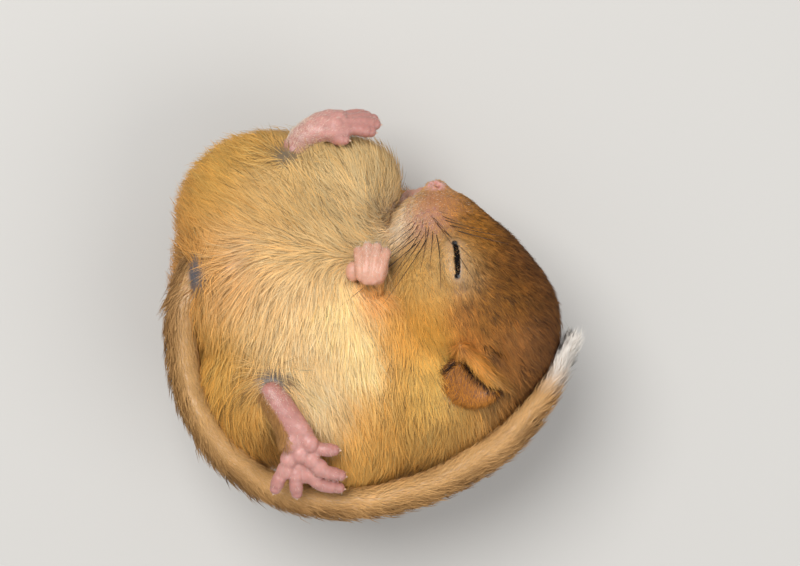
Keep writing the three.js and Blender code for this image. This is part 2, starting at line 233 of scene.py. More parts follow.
HEAD = blend(
    1.5,
    [
        head_ball((6.4, -1.3, 0), (6.0, 5.6, 4.8)),
        head_ball((13.4, -0.9, 0), (8.6, 8.6, 7.8)),
        head_ball((19.4, 1.0, 0), (9.2, 8.5, 8.8)),
        head_ball((14.6, -5.4, 3.0), (7.6, 6.4, 5.8)),
        head_ball((14.2, -4.8, -3.0), (6.8, 5.4, 5.4)),
    ],
)
NECK = limb((16.6, -3.6, 18.2), (13.4, -8.8, 15.6), 8.4, 9.0)
TRUNK = blend(
    2.2,
    [
        ball((-5.6, 0.8, 14.6), (15.2, 16.2, 14.6)),
        ball((5.2, -8.2, 12.6), (13.2, 11.8, 12.4)),
        ball((-1.6, -10.2, 13.8), (10.4, 13.2, 11.8)),
        ball((2.4, 2.6, 8.2), (9.0, 9.2, 8.2)),
        ball((-15.2, 5.0, 14.0), (10.9, 11.0, 12.6)),
    ],
)
FORELEG_LEFT = blend(
    1.4,
    [
        limb((9.0, -12.4, 15.0), (7.4, -8.8, 19.6), 8.6, 7.2),
        limb((7.6, -9.2, 20.2), (1.2, 1.8, 26.0), 6.8, 2.6),
    ],
)
FORELEG_RIGHT = blend(
    1.0,
    [
        limb((6.2, 6.6, 6.2), (3.4, 13.0, 6.6), 5.6, 4.4),
        limb((3.4, 13.0, 6.6), (5.4, 13.4, 9.8), 4.0, 2.3),
    ],
)
HINDLEG_LEFT = blend(
    1.6,
    [
        ball((-13.8, -7.8, 13.2), (10.2, 11.2, 11.8)),
        limb((-14.6, -14.2, 15.6), (-12.4, -10.8, 23.6), 4.9, 2.5),
    ],
)
HINDLEG_RIGHT = blend(
    1.8,
    [
        ball((-14.0, 13.0, 14.0), (11.4, 11.6, 11.8)),
        limb((-9.6, 15.4, 18.2), (-1.6, 16.4, 18.0), 7.8, 6.6),
        limb((-2.0, 18.4, 14.0), (-9.0, 20.8, 18.8), 4.4, 2.7),
    ],
)

# Furred parts: shape, depth of the coat, length of its hair, and how steeply it leaves the skin in degrees
FURRED = {
    "head": (HEAD, head_depth, 1.7, 26),
    "neck": (NECK, 1.5, 3.5, 26),
    "trunk": (TRUNK, 1.8, 4.2, 28),
    "foreleg_left": (FORELEG_LEFT, 1.3, 2.8, 26),
    "foreleg_right": (FORELEG_RIGHT, 1.3, 2.8, 26),
    "hindleg_left": (HINDLEG_LEFT, 1.5, 3.5, 27),
    "hindleg_right": (HINDLEG_RIGHT, 1.5, 3.5, 27),
}
FLESH = blend(CREASE, [deeper(shape, depth) for shape, depth, _, _ in FURRED.values()])

# Tail: a thin core under the coat, from the rump round to the white tip
TAIL_LINE = spline(
    [
        (-17.0, 10.5, 16.0), (-21.2, 7.2, 17.8), (-23.4, 2.5, 19.0), (-23.8, -2.8, 19.4), (-23.1, -8.0, 20.0),
        (-21.2, -13.0, 20.6), (-17.9, -17.6, 20.4), (-13.0, -21.4, 19.6), (-7.2, -23.4, 19.4), (-0.8, -23.7, 19.6),
        (5.3, -22.6, 20.0), (9.6, -20.9, 20.6), (14.0, -18.5, 21.2), (17.8, -15.8, 21.4), (21.1, -12.4, 21.4),
        (23.5, -9.0, 21.4), (24.9, -6.6, 21.4), (26.3, -3.4, 21.4),
    ],
    61,
)
TAIL_WAYS = tangents(TAIL_LINE)
TAIL_CORE = 1.5
tail_share = np.linspace(0, 1, len(TAIL_LINE))
tail_radii = TAIL_CORE + np.exp(-tail_share / 0.09) - 0.9 * smooth(tail_share, 0.8, 1)
TAIL_PARTS = [(TAIL_LINE[k : k + 7], tail_radii[k : k + 7]) for k in range(0, 60, 6)]
TAIL = nearest_of([within(chain(line[::2], radii[::2]), line, 3) for line, radii in TAIL_PARTS])


def slab(line, up, stations, count=7):
    """A flattened tube along a line, by stations: share of the length, half the width, half the height."""
    line = spline(line, count)
    share = np.linspace(0, 1, count)
    at, wide, high = np.array(stations, float).T
    wide = np.interp(share, at, wide)
    high = np.minimum(np.interp(share, at, high), wide)
    side = unit(np.cross(tangents(line), up)) * (wide - high)[:, None]
    return blend(0.25, [chain(line + side * k, high) for k in (-1, 0, 1)])


def digit(points, radius, rings=0.022):
    """A finger or toe with faint rings across it."""
    line = spline(points, 13)
    share = np.linspace(0, 1, 13)
    radii = radius * np.interp(share, [0, 0.2, 0.5, 0.8, 1], [0.85, 1, 0.94, 1.04, 0.84])
    return chain(line, radii * (1 + rings * np.cos(math.pi * np.arange(13))))


FOOT_STATIONS = [(0, 1.15, 1.1), (0.15, 1.6, 1.35), (0.45, 1.8, 1.3), (0.8, 2.4, 1.25), (1, 2.1, 0.85)]
PALM_STATIONS = [(0, 1.3, 1.1), (0.4, 2.1, 1.2), (0.8, 2.1, 1.0), (1, 1.7, 0.6)]
TOE_RADIUS = 0.86
FINGER_RADIUS = 0.66

FOOT_LEFT = {
    "up": (0.05, -0.15, 1),
    "sole": [(-11.9, -9.3, 25.8), (-10.4, -11.6, 26.2), (-8.9, -14.4, 26), (-7.8, -17.9, 25)],
    "pads": [
        (-8.2, -13.9, 26.8), (-9.4, -15.6, 26.7), (-7.0, -15.7, 26.7), (-8.3, -17.1, 26.3), (-9.8, -17.8, 25.9),
        (-6.9, -17.8, 25.9), (-10.2, -19.2, 25.4), (-5.8, -18.9, 25.5), (-7.6, -19.8, 24.5),
    ],
    "toes": [
        [(-7.2, -17.6, 25.2), (-5.6, -19.2, 25.3), (-3.2, -19.9, 24.6)],
        [(-7.8, -18, 24.8), (-6.3, -20.8, 24.5), (-3.4, -21.6, 23.6)],
        [(-8.5, -18.4, 24.8), (-8.9, -20.4, 25), (-8.8, -22.2, 24.4)],
        [(-9.3, -17.9, 25), (-10.8, -19.9, 25.2), (-11.5, -21.6, 24.7)],
        [(-7.2, -16, 25.4), (-5.4, -16.5, 26), (-4, -16.6, 25.9)],
    ],
}
FOOT_RIGHT = {
    "up": (-0.1, 0.6, 0.8),
    "sole": [(-9.4, 20.8, 20.2), (-8.4, 23.2, 21), (-6, 24.8, 21.2), (-3, 25.4, 20.6)],
    "pads": [(-7, 24.6, 22), (-5.4, 25.2, 21.7), (-4, 25, 21.8), (-3.6, 25.8, 21.1)],
    "toes": [
        [(-3.4, 24.6, 20.8), (-1.4, 24.6, 21), (0.6, 24.3, 20.4)],
        [(-3.2, 25.1, 20.5), (-1, 25.4, 20.5), (1.2, 25.3, 19.8)],
        [(-3.4, 25.5, 19.8), (-1.2, 26, 19.7), (0.9, 26, 18.9)],
        [(-3.8, 25.7, 19.2), (-2, 26.5, 18.7), (0, 26.5, 17.7)],
        [(-5, 24.2, 20.9), (-3.9, 23.4, 21.5), (-2.8, 23.2, 21.6)],
    ],
}
PAW_LEFT = {
    "wrist": vec(0.8, 4.8, 26.6),
    "knuckles": vec(0.9, 8.6, 27.2),
    "spread": vec(1.14, -0.05, 0.1),
    "tips": vec(0.6, 5.2, 28.6),
    "up": vec(0, -0.1, 1),
}
PAW_RIGHT = {
    "wrist": vec(5.4, 12.8, 10.2),
    "knuckles": vec(6.6, 16.2, 10.6),
    "spread": vec(1, 0.3, -0.2),
    "tips": vec(5.6, 13.6, 12.4),
    "up": vec(-0.35, -0.2, 0.9),
}


def hind_foot(foot):
    base = slab(foot["sole"], foot["up"], FOOT_STATIONS)
    pads = [ball(pad, (1.05, 1.15, 0.85)) for pad in foot["pads"]]
    toes = [digit(points, TOE_RADIUS) for points in foot["toes"]]
    places = foot["sole"] + foot["pads"] + [point for points in foot["toes"] for point in points]
    return within(blend(0.14, [base] + pads + toes), places, 2.5)


def finger_lines(paw):
    """Four fingers folded over the palm, the middle two reaching furthest."""
    reach = unit(paw["knuckles"] - paw["wrist"])
    lines = []
    for place in (-1.5, -0.5, 0.5, 1.5):
        shift = paw["spread"] * place
        bend = paw["knuckles"] + shift + reach * (0.55 - 0.3 * place**2)
        tip = paw["tips"] + shift * 0.66 + reach * (0.3 * place**2 - 0.35)
        middle = (bend + tip) / 2 + paw["up"] * 0.7
        under = tip + reach * 0.3 - paw["up"] * 0.9
        lines.append([bend - paw["up"] * 0.9, bend + paw["up"] * 0.35, middle, tip, under])
    return lines


def fist(paw):
    reach = unit(paw["knuckles"] - paw["wrist"])
    middle = (paw["wrist"] + paw["knuckles"]) / 2
    palm = slab([paw["wrist"], middle, paw["knuckles"]], paw["up"], PALM_STATIONS)
    fingers = [digit(line, FINGER_RADIUS, 0.015) for line in finger_lines(paw)]
    thumb = ball(middle - paw["spread"] * 2.1 - reach * 0.6 + paw["up"] * 1.0, (0.9, 1.25, 0.9))
    places = [paw["wrist"], paw["knuckles"], paw["tips"]]
    return within(blend(0.09, [palm, thumb] + fingers), places, 3.8)


FEET = {"foot_left": hind_foot(FOOT_LEFT), "foot_right": hind_foot(FOOT_RIGHT)}
PAWS = {"paw_left": fist(PAW_LEFT), "paw_right": fist(PAW_RIGHT)}


def bare_paw(name, paw):
    """The fist without its wrist, which is furred."""
    reach = unit(paw["knuckles"] - paw["wrist"])
    return lambda p: np.maximum(PAWS[name](p), 0.2 - (p - paw["wrist"]) @ reach)


BARE_PAWS = [bare_paw("paw_left", PAW_LEFT), bare_paw("paw_right", PAW_RIGHT)]
NOSE = within(head_ball((1.6, 0.5, 0), (1.75, 1.6, 1.9)), in_head(1.6, 0.5, 0), 2)

# Ears: a shallow cup with a rim, lying back on the fur
EARS = {
    "ear_left": (vec(14.2, -8.6, 28), vec(-0.25, -0.97, 0)),
    "ear_right": (vec(20.4, -2.6, 9.6), vec(0.3, -0.95, 0)),
}


def on_flesh(point):
    place, out = settle(FLESH, point)
    return place[0], out[0]


def ear_frame(point, tip):
    """Middle of an ear, and its axes: across, towards the tip, and out."""
    place, out = on_flesh(point)
    across = unit(np.cross(tip, out))
    return place + out * 1.2, np.stack([across, unit(np.cross(out, across)), out])


def pinna(name, middle, axes):
    """The cup of an ear, which ends under the furred fold at its front."""
    cup = ball(middle, (3.8, 3.3, 1.15), axes)
    hollow = ball(middle + axes[2] * 1.3 - axes[1] * 0.3, (3.3, 2.75, 1.35), axes)
    carved = carve(0.12, cup, hollow)
    mirror = 1 if name == "ear_left" else -1
    ahead = axes[0] * 0.524 * mirror + axes[1] * 0.852
    return within(lambda p: np.maximum(carved(p), -1.7 - (p - middle) @ ahead), middle, 4)


EAR_FRAMES = {name: ear_frame(*ear) for name, ear in EARS.items()}
PINNAS = {name: pinna(name, *EAR_FRAMES[name]) for name in EARS}


def by_ear(name, across, along, out=0.0):
    """A point in an ear's own axes."""
    middle, axes = EAR_FRAMES[name]
    mirror = 1 if name == "ear_left" else -1
    return middle + axes[0] * across * mirror + axes[1] * along + axes[2] * out


# The front edge of the ear is a furred fold over its hollow
EAR_FOLD = [(2.7, -4.3), (1.2, -3.5), (-0.3, -2.45), (-2.1, -1.3), (-3.9, -0.3)]
EAR_FOLDS = {name: settle(FLESH, [by_ear(name, a, b) for a, b in EAR_FOLD]) for name in EARS}
FOLD_RADII = np.interp(np.arange(9), [0, 3, 6, 8], [0.6, 0.85, 0.8, 0.45])
FOLDS = [within(chain(spline(line + out * 0.95, 9), FOLD_RADII), line, 2.5) for line, out in EAR_FOLDS.values()]


def eye_frame(side):
    """Middle of an eye's slit on the flesh, and its axes: along the slit, across it and out."""
    place, out = on_flesh(in_head(EYE["back"], EYE["up"], side * EYE["across"]))
    along = BACK * math.cos(EYE["angle"]) - CROWN * math.sin(EYE["angle"])
    along = unit(along - out * (along @ out))
    return place, np.stack([along, np.cross(out, along), out])


EYES = {"eye_left": eye_frame(1), "eye_right": eye_frame(-1)}
LIDS = [
    within(ball(place - axes[2] * 0.15, (3.1, 2.2, 1.0), axes), place, 3.2) for place, axes in EYES.values()
]

MASS = blend(0.35, [FLESH, TAIL] + LIDS + [NOSE] + FOLDS)
BARE = nearest_of(list(FEET.values()) + BARE_PAWS + list(PINNAS.values()))
WHOLE = blend(0.22, [MASS] + list(FEET.values()) + list(PAWS.values()) + list(PINNAS.values()))


def slit_line(place, axes):
    """The slit between the lids, a little bowed, on the surface."""
    t = np.linspace(-1, 1, 9)[:, None]
    flat = place + axes[0] * t * EYE["half"] + axes[1] * 0.22 * (1 - t**2)
    return settle(MASS, flat)


SLITS = {name: slit_line(*eye) for name, eye in EYES.items()}


def slit_groove(line, out):
    width = 0.3 * np.sqrt(np.maximum(1 - np.linspace(-1, 1, len(line)) ** 2, 0.1))
    return within(nearest_of([chain(line - out * depth, width) for depth in (-0.05, 0.3, 0.6)]), line, 1)


def mouth_line(side):
    line = [in_head(0.9, -1.7, side * 0.3), in_head(2.4, -3.1, side * 1.7), in_head(5.0, -4.3, side * 3.2)]
    return settle(MASS, spline(line, 8))[0]


def nostril(side):
    line = [in_head(0.3, 0.5, side * 1.0), in_head(0.9, 0.9, side * 1.5), in_head(1.5, 0.6, side * 1.9)]
    return within(chain(settle(MASS, line)[0], [0.38, 0.3, 0.15]), line, 0.6)


EAR_CREVICE = [(3.5, -0.7), (2.7, -1.9), (1.8, -2.7), (0.2, -1.8), (-1.6, -0.65), (-3.5, 0.35)]
EAR_CREVICES = {name: settle(WHOLE, [by_ear(name, a, b, 0.3) for a, b in EAR_CREVICE])[0] for name in EARS}
GROOVES = [slit_groove(*slit) for slit in SLITS.values()]
GROOVES += [within(chain(mouth_line(side), np.full(8, 0.22)), mouth_line(side), 0.4) for side in (1, -1)]
GROOVES += [nostril(1), nostril(-1)]
GROOVES += [within(limb(in_head(0.1, -0.2, 0), in_head(0.8, -1.9, 0), 0.16, 0.16), NOSE_TIP, 2)]
GROOVES += [within(chain(line, [0.25, 0.4, 0.5, 0.4, 0.3, 0.2]), line, 0.8) for line in EAR_CREVICES.values()]
EAR_DIMPLES = {name: settle(WHOLE, by_ear(name, -1.2, -4.4))[0] for name in EARS}
GROOVES += [within(ball(place, (1.3, 1.3, 0.4)), place, 1.4) for place in EAR_DIMPLES.values()]
CARVED = carve(0.12, WHOLE, nearest_of(GROOVES))


def skin_field(p):
    return np.maximum(CARVED(p), FLOOR_GAP - p[:, 2])


# Meshes


def placed(name, data):
    made = bpy.data.objects.new(name, data)
    bpy.context.scene.collection.objects.link(made)
    return made


def new_object(name, points, faces, smoothly=True):
    """A mesh object of triangles, from points in millimetres."""
    mesh = bpy.data.meshes.new(name)
    mesh.vertices.add(len(points))
    mesh.vertices.foreach_set("co", (np.asarray(points, np.float32) * MM).ravel())
    mesh.loops.add(len(faces) * 3)
    mesh.loops.foreach_set("vertex_index", np.asarray(faces, np.int32).ravel())
    mesh.polygons.add(len(faces))
    mesh.polygons.foreach_set("loop_start", np.arange(0, len(faces) * 3, 3, dtype=np.int32))
    mesh.polygons.foreach_set("use_smooth", np.full(len(faces), smoothly))
    mesh.update(calc_edges=True)
    return placed(name, mesh)


def paint(made, colours, name="pigment"):
    rgba = np.ones((len(colours), 4), np.float32)
    rgba[:, :3] = colours
    made.data.attributes.new(name, "FLOAT_COLOR", "POINT").data.foreach_set("color", rgba.ravel())


CORNERS = np.array([[c & 1, (c >> 1) & 1, c >> 2] for c in range(8)])
EDGE_PAIRS = [(i, i | bit) for i in range(8) for bit in (1, 2, 4) if not i & bit]


def sampled(field, low, counts, cell, step=4):
    """The field on a grid. Far from the surface a coarse sample stands for it."""
    axes = [low[k] + cell * np.arange(counts[k]) for k in range(3)]
    coarse_axes = [axis[::step] for axis in axes]
    shape = [len(axis) for axis in coarse_axes]
    grid = np.stack(np.meshgrid(*coarse_axes, indexing="ij"), -1).reshape(-1, 3)
    coarse = field(grid).reshape(shape)
    index = [np.minimum((np.arange(n) + step // 2) // step, s - 1) for n, s in zip(counts, shape)]
    values = coarse[np.ix_(*index)]
    near = np.argwhere(np.abs(values) < step * cell * 1.1)
    for part in np.array_split(near, max(1, len(near) // 200000)):
        points = np.stack([axes[k][part[:, k]] for k in range(3)], 1)
        values[tuple(part.T)] = field(points)
    return values


def surface_nets(field, low, high, cell):
    """One vertex in each grid cell that the surface crosses, and four-sided faces between them."""
    low = np.asarray(low, float)
    counts = np.ceil((np.asarray(high) - low) / cell).astype(int) + 1
    values = sampled(field, low, counts, cell)
    inside = values < 0
    cells = tuple(counts - 1)
    boxes = [tuple(slice(a, a + n) for a, n in zip(corner, cells)) for corner in CORNERS]
    sums = sum(inside[box].astype(np.int8) for box in boxes)
    active = np.argwhere((sums > 0) & (sums < 8))
    number = np.full(cells, -1, np.int64)
    number[tuple(active.T)] = np.arange(len(active))
    corner = [values[tuple((active + offset).T)] for offset in CORNERS]
    total = np.zeros((len(active), 3))
    crossings = np.zeros(len(active))
    for i, j in EDGE_PAIRS:
        cross = (corner[i] < 0) != (corner[j] < 0)
        t = corner[i] / np.where(cross, corner[i] - corner[j], 1)
        total += np.where(cross[:, None], CORNERS[i] + (CORNERS[j] - CORNERS[i]) * t[:, None], 0)
        crossings += cross
    points = low + cell * (active + total / crossings[:, None])
    faces = []
    step = np.eye(3, dtype=int)
    for axis in range(3):
        u, v = (axis + 1) % 3, (axis + 2) % 3
        ahead = np.take(inside, np.arange(1, counts[axis]), axis)
        here = np.take(inside, np.arange(0, counts[axis] - 1), axis)
        at = np.argwhere(here != ahead)
        at = at[(at[:, u] > 0) & (at[:, v] > 0) & (at[:, u] < cells[u]) & (at[:, v] < cells[v])]
        ring = [at, at - step[u], at - step[u] - step[v], at - step[v]]
        quad = np.stack([number[tuple(r.T)] for r in ring], 1)
        solid_here = here[tuple(at.T)]
        faces.append(np.where(solid_here[:, None], quad, quad[:, ::-1]))
    return points, np.vstack(faces)


def triangles_of(points, quads):
    """Each quad cut along its shorter diagonal."""
    a, b, c, d = (points[quads[:, k]] for k in range(4))
    first = np.linalg.norm(a - c, axis=1) < np.linalg.norm(b - d, axis=1)
    cut = np.where(first[:, None, None], quads[:, [[0, 1, 2], [0, 2, 3]]], quads[:, [[0, 1, 3], [1, 2, 3]]])
    return cut.reshape(-1, 3)


def refined(points, faces, wanted):
    """Triangles with two or three wanted corners are split at the middles of their wanted edges."""
    marked = wanted[faces].sum(1)
    turn = np.where(marked == 2, np.argmin(wanted[faces], axis=1), 0)
    faces = np.take_along_axis(faces, (np.arange(3) + turn[:, None]) % 3, axis=1)
    pairs = np.sort(faces[:, [[0, 1], [1, 2], [2, 0]]], axis=2)
    keys = pairs[..., 0] * len(points) + pairs[..., 1]
    split = wanted[pairs].all(2)
    used = np.unique(keys[split])
    middle = np.searchsorted(used, keys) + len(points)
    added = (points[used // len(points)] + points[used % len(points)]) / 2
    none, one, three = faces[marked < 2], marked == 2, marked == 3
    a, b, c = faces[one].T
    m = middle[one][:, 1]
    halves = np.vstack([np.stack([a, b, m], 1), np.stack([a, m, c], 1)])
    a, b, c = faces[three].T
    ab, bc, ca = middle[three].T
    quarters = [np.stack(t, 1) for t in ((a, ab, ca), (ab, b, bc), (ca, bc, c), (ab, bc, ca))]
    return np.vstack([points, added]), np.vstack([none, halves] + quarters)


def relaxed(field, points, faces, rounds, reach):
    """Points evened out along the surface and put back on it."""
    pairs = np.vstack([faces[:, [0, 1]], faces[:, [1, 2]], faces[:, [2, 0]]])
    pairs = np.vstack([pairs, pairs[:, ::-1]])
    degree = np.bincount(pairs[:, 0], minlength=len(points))
    for _ in range(rounds):
        mean = np.stack([np.bincount(pairs[:, 0], points[pairs[:, 1], k], len(points)) for k in range(3)], 1)
        g = slope(field, points)
        n = unit(g)
        shift = flattened(mean / degree[:, None] - points, n)
        points = points + 0.5 * shift
        step = field(points) / np.maximum(np.linalg.norm(g, axis=1), 0.5)
        points = points - n * np.clip(step, -reach, reach)[:, None]
    return points


def face_features(p):
    """Distance to the things that need the finest mesh."""
    lines = [line for line, _ in SLITS.values()] + list(EAR_CREVICES.values())
    near = nearest_of([chain(line, np.full(len(line), 0.6)) for line in lines])(p)
    return np.minimum(near, NOSE(p) - 0.3)


def make_skin():
    points, quads = surface_nets(skin_field, (-29, -29, -0.6), (30, 29, 31), SKIN_CELL)
    faces = triangles_of(points, quads)
    points = relaxed(skin_field, points, faces, 3, 0.2)
    muzzle = np.linalg.norm(points - in_head(5, -1, 0), axis=1) - 6
    wanted = np.minimum.reduce([BARE(points) - 0.35, muzzle, face_features(points) - 0.8]) < 0
    points, faces = refined(points, faces, wanted)
    points = relaxed(skin_field, points, faces, 2, 0.12)
    hands = nearest_of(list(PAWS.values()) + [FEET["foot_left"], FEET["foot_right"]])
    wanted = np.minimum(face_features(points), hands(points) - 0.05) < 0
    points, faces = refined(points, faces, wanted)
    points = relaxed(skin_field, points, faces, 3, 0.08)
    return points, faces


skin_points, skin_faces = make_skin()
skin = new_object("skin", skin_points, skin_faces)


def unwrap(made):
    """Smart projection of the skin, kept as corner coordinates."""
    made.data.uv_layers.new(name="OFBake")
    bpy.context.view_layer.objects.active = made
    bpy.ops.object.select_all(action="DESELECT")
    made.select_set(True)
    bpy.ops.object.mode_set(mode="EDIT")
    bpy.ops.mesh.select_all(action="SELECT")
    bpy.ops.uv.smart_project(angle_limit=math.radians(72), island_margin=0.001)
    bpy.ops.object.mode_set(mode="OBJECT")
    flat = np.zeros(len(made.data.loops) * 2, np.float32)
    made.data.uv_layers["OFBake"].data.foreach_get("uv", flat)
    return flat.reshape(-1, 3, 2)


skin_uv = unwrap(skin)

# Pigment: named places with a reach in millimetres and a colour


def linear(text):
    """A written colour as linear values."""
    value = np.array([int(text[k : k + 2], 16) for k in (1, 3, 5)]) / 255
    return np.where(value <= 0.04045, value / 12.92, ((value + 0.055) / 1.055) ** 2.4)


COAT_ZONES = [
    ((0, 0, 0), 11.0, "#a86f34"),  # back, on the floor
    ((16, -8, 4), 8.0, "#9a6430"),
    ((-16, 2, 6), 9.0, "#b47a3b"),
    ((-7.5, 1, 29), 6.5, "#d1ad79"),  # belly
    ((-8.5, -4.5, 28.5), 4.0, "#d4b383"),
    ((-16.5, 7.4, 26), 3.5, "#c1915a"),  # groin
    ((-3.2, 1.5, 28), 2.2, "#e9c88a"),  # throat stripe
    ((-0.4, -4.5, 27.5), 2.2, "#eccb8e"),
    ((-3.5, 17, 25), 5.5, "#b79a69"),  # right thigh
    ((1.5, 14, 22), 4.0, "#b89b6e"),
    ((-9, 13.5, 27), 4.0, "#ba9660"),
    ((-15.5, 15.5, 22), 5.5, "#ac823e"),  # right hip
    ((-22, 10, 17), 5.0, "#a8783e"),
    ((-17, -7, 24), 5.5, "#bb8c42"),  # left haunch
    ((-15.5, -13.5, 21), 4.5, "#ad7a3b"),
    ((-0.5, -11.5, 27), 3.6, "#c5914a"),  # chest and flank
    ((1.5, -16.5, 24), 4.0, "#c29049"),
    ((-7.5, -10.5, 27.5), 3.2, "#e6cb9e"),  # in front of the left thigh
    ((-9.0, -8.0, 28), 2.0, "#e8cfa0"),
    ((-11.6, -7.6, 27), 1.3, "#96897a"),
    ((-14.8, 9.3, 27), 1.6, "#b3a188"),
    ((-0.6, -1.3, 27.5), 1.0, "#eccc90"),  # bright fur along the arm
    ((0.2, -5, 27.5), 1.1, "#eccc90"),
    ((1.4, -9, 27.5), 1.2, "#e6c17e"),
    # edge of the arm: the arm's fur, darkened as painted shade of the fold between arm and belly
    ((2.4, -1.6, 27.8), 1.1, "#b8803a"),  # edge of the arm
    ((3.0, -5, 28), 1.2, "#b07a38"),
    ((4.4, -8.8, 28), 1.5, "#ab7c3c"),
    ((6, -1, 28), 3.6, "#c28836"),  # left arm
    # painted shade under the left fist, in the arm's orange
    ((0.5, 3.3, 27), 1.6, "#c27d3b"),
    ((8.5, -7.5, 27.5), 3.6, "#bf974e"),
    ((10.5, -14.5, 24.5), 4.5, "#b38747"),
    ((14.5, -18.5, 17), 5.0, "#94683a"),
    ((19.5, -12.5, 21), 3.5, "#7b5229"),
    ((8.2, 6.5, 27), 3.2, "#b78b48"),  # cheek
    ((10.4, 8.8, 27), 2.4, "#c49c68"),
    ((11.9, 6.2, 27.5), 1.5, "#c6a276"),  # round the eye
    ((13.3, 12.1, 25), 3.2, "#94601e"),  # forehead
    ((9.6, 15, 22), 2.2, "#ae7840"),  # muzzle
    ((6.8, 13, 24), 2.4, "#b5825a"),
    ((4.8, 12.4, 22), 1.8, "#e0cbb0"),
    ((16, 4, 28), 3.6, "#704610"),  # temple
    ((19.5, 8.5, 24), 4.2, "#5d391b"),  # crown
    ((17.5, 12.5, 18), 4.0, "#4f321a"),
    ((22.5, -1.5, 22), 4.6, "#513117"),  # nape
    ((18, -3, 27), 2.6, "#8d5a28"),
    ((11.8, 1.6, 28), 1.5, "#a0662f"),  # line from eye to ear
    ((12.2, -2.6, 28), 1.4, "#a8632a"),
    ((14.5, -5.2, 28.5), 1.3, "#d58a3b"),  # ear's ridge
    ((20, 4, 10), 8.0, "#6e4722"),  # right side of the head
    ((10, 12, 12), 5.0, "#c08a4a"),
    ((5, 15, 8), 5.0, "#c9924f"),
]
# painted shade in the carved dimples above the ears
COAT_ZONES += [(place, 0.9, "#3f2510") for place in EAR_DIMPLES.values()]
COAT_ZONES = [(vec(*place), reach, linear(colour)) for place, reach, colour in COAT_ZONES]
TAN = linear("#b98043")
SLATE = linear("#3b3733")


def mixed(p, zones, base, floor=0.02):
    """Colour at each point: the zones weighed by their nearness."""
    total = np.full((len(p), 1), floor)
    colour = total * base
    for place, reach, own in zones:
        weight = np.exp(-((p - place) ** 2).sum(1) / (1.4 * reach**2))[:, None]
        total = total + weight
        colour = colour + weight * own
    return colour / total


def ripples(p, length, seed, count=10):
    """Smooth noise between about -1 and 1, from waves in seeded directions."""
    waves = np.random.default_rng(seed)
    value = np.zeros(len(p))
    for _ in range(count):
        way = unit(waves.normal(size=3)) * 2 * math.pi / (length * waves.uniform(0.6, 1.6))
        value += np.sin(p @ way + waves.uniform(0, 2 * math.pi))
    return value / math.sqrt(count / 2) / 2


FUR_PARTS = list(FURRED)


def part_weights(p):
    """How much each furred part counts at a point."""
    d = np.stack([deeper(shape, depth)(p) for shape, depth, _, _ in FURRED.values()])
    w = np.exp((d.min(0) - d) / 1.2)
    return w / w.sum(0)


def near_line(p, line):
    """Distance to a line of points, and the number of the nearest one."""
    line = np.asarray(line, float)
    best = np.full(len(p), 1e9)
    index = np.zeros(len(p), int)
    for k, point in enumerate(line):
        d = ((p - point) ** 2).sum(1)
        closer = d < best
        best[closer] = d[closer]
        index[closer] = k
    return np.sqrt(best), index


def slit_distance(p):
    return np.min([near_line(p, line)[0] for line, _ in SLITS.values()], axis=0)


# Places where the fur parts and shows grey roots or bare skin: place, reach, colour, bareness
PARTINGS = [
    (vec(-21.9, 5.6, 21), 2.6, linear("#4d494c"), 1.0),
    (vec(-10.3, 20.0, 21.5), 1.9, linear("#4a4640"), 0.75),
    (vec(-11.9, -7.8, 26.6), 2.0, linear("#57524e"), 0.95),
    (vec(-16.8, 7.2, 26.5), 1.1, linear("#cfa08c"), 0.8),
    (vec(-14.8, 9.3, 27), 1.5, linear("#a5937c"), 0.3),
]
PARTINGS = [(on_flesh(place)[0], *rest) for place, *rest in PARTINGS]

PINK = linear("#a6736a")
PAD = linear("#ba877d")
FIST = linear("#bd8b74")
EAR_SKIN = linear("#80502c")
TAIL_SKIN = linear("#c49c70")
NOSE_PINK = linear("#bd8c82")
INK = linear("#120d0b")


def lay(colour, over, share):
    return colour * (1 - share[:, None]) + over * share[:, None]


WHISKER_GRID = [(row, column) for row in range(5) for column in range(5)]


def whisker_roots(side):
    starts = [in_head(3.3 + c + 0.1 * r, -4.3 + 0.85 * r + 0.12 * c, side * 4.5) for r, c in WHISKER_GRID]
    return list(zip(*settle(MASS, starts)))


WHISKER_ROOTS = {side: whisker_roots(side) for side in (1, -1)}


def foot_edge(p):
    """How much a point is on the furred outer edge of the left foot."""
    line = spline(FOOT_LEFT["sole"], 24)
    far, at = near_line(p, line)
    aside = ((p - line[at]) * np.cross(tangents(line)[at], (0, 0, 1))).sum(1)
    share = smooth(aside, 0.7, 1.2) * smooth(3.4 - far, 0, 0.6) * smooth(18 - at, 0, 5)
    return share * smooth(-FEET["foot_left"](p), -0.45, -0.05)


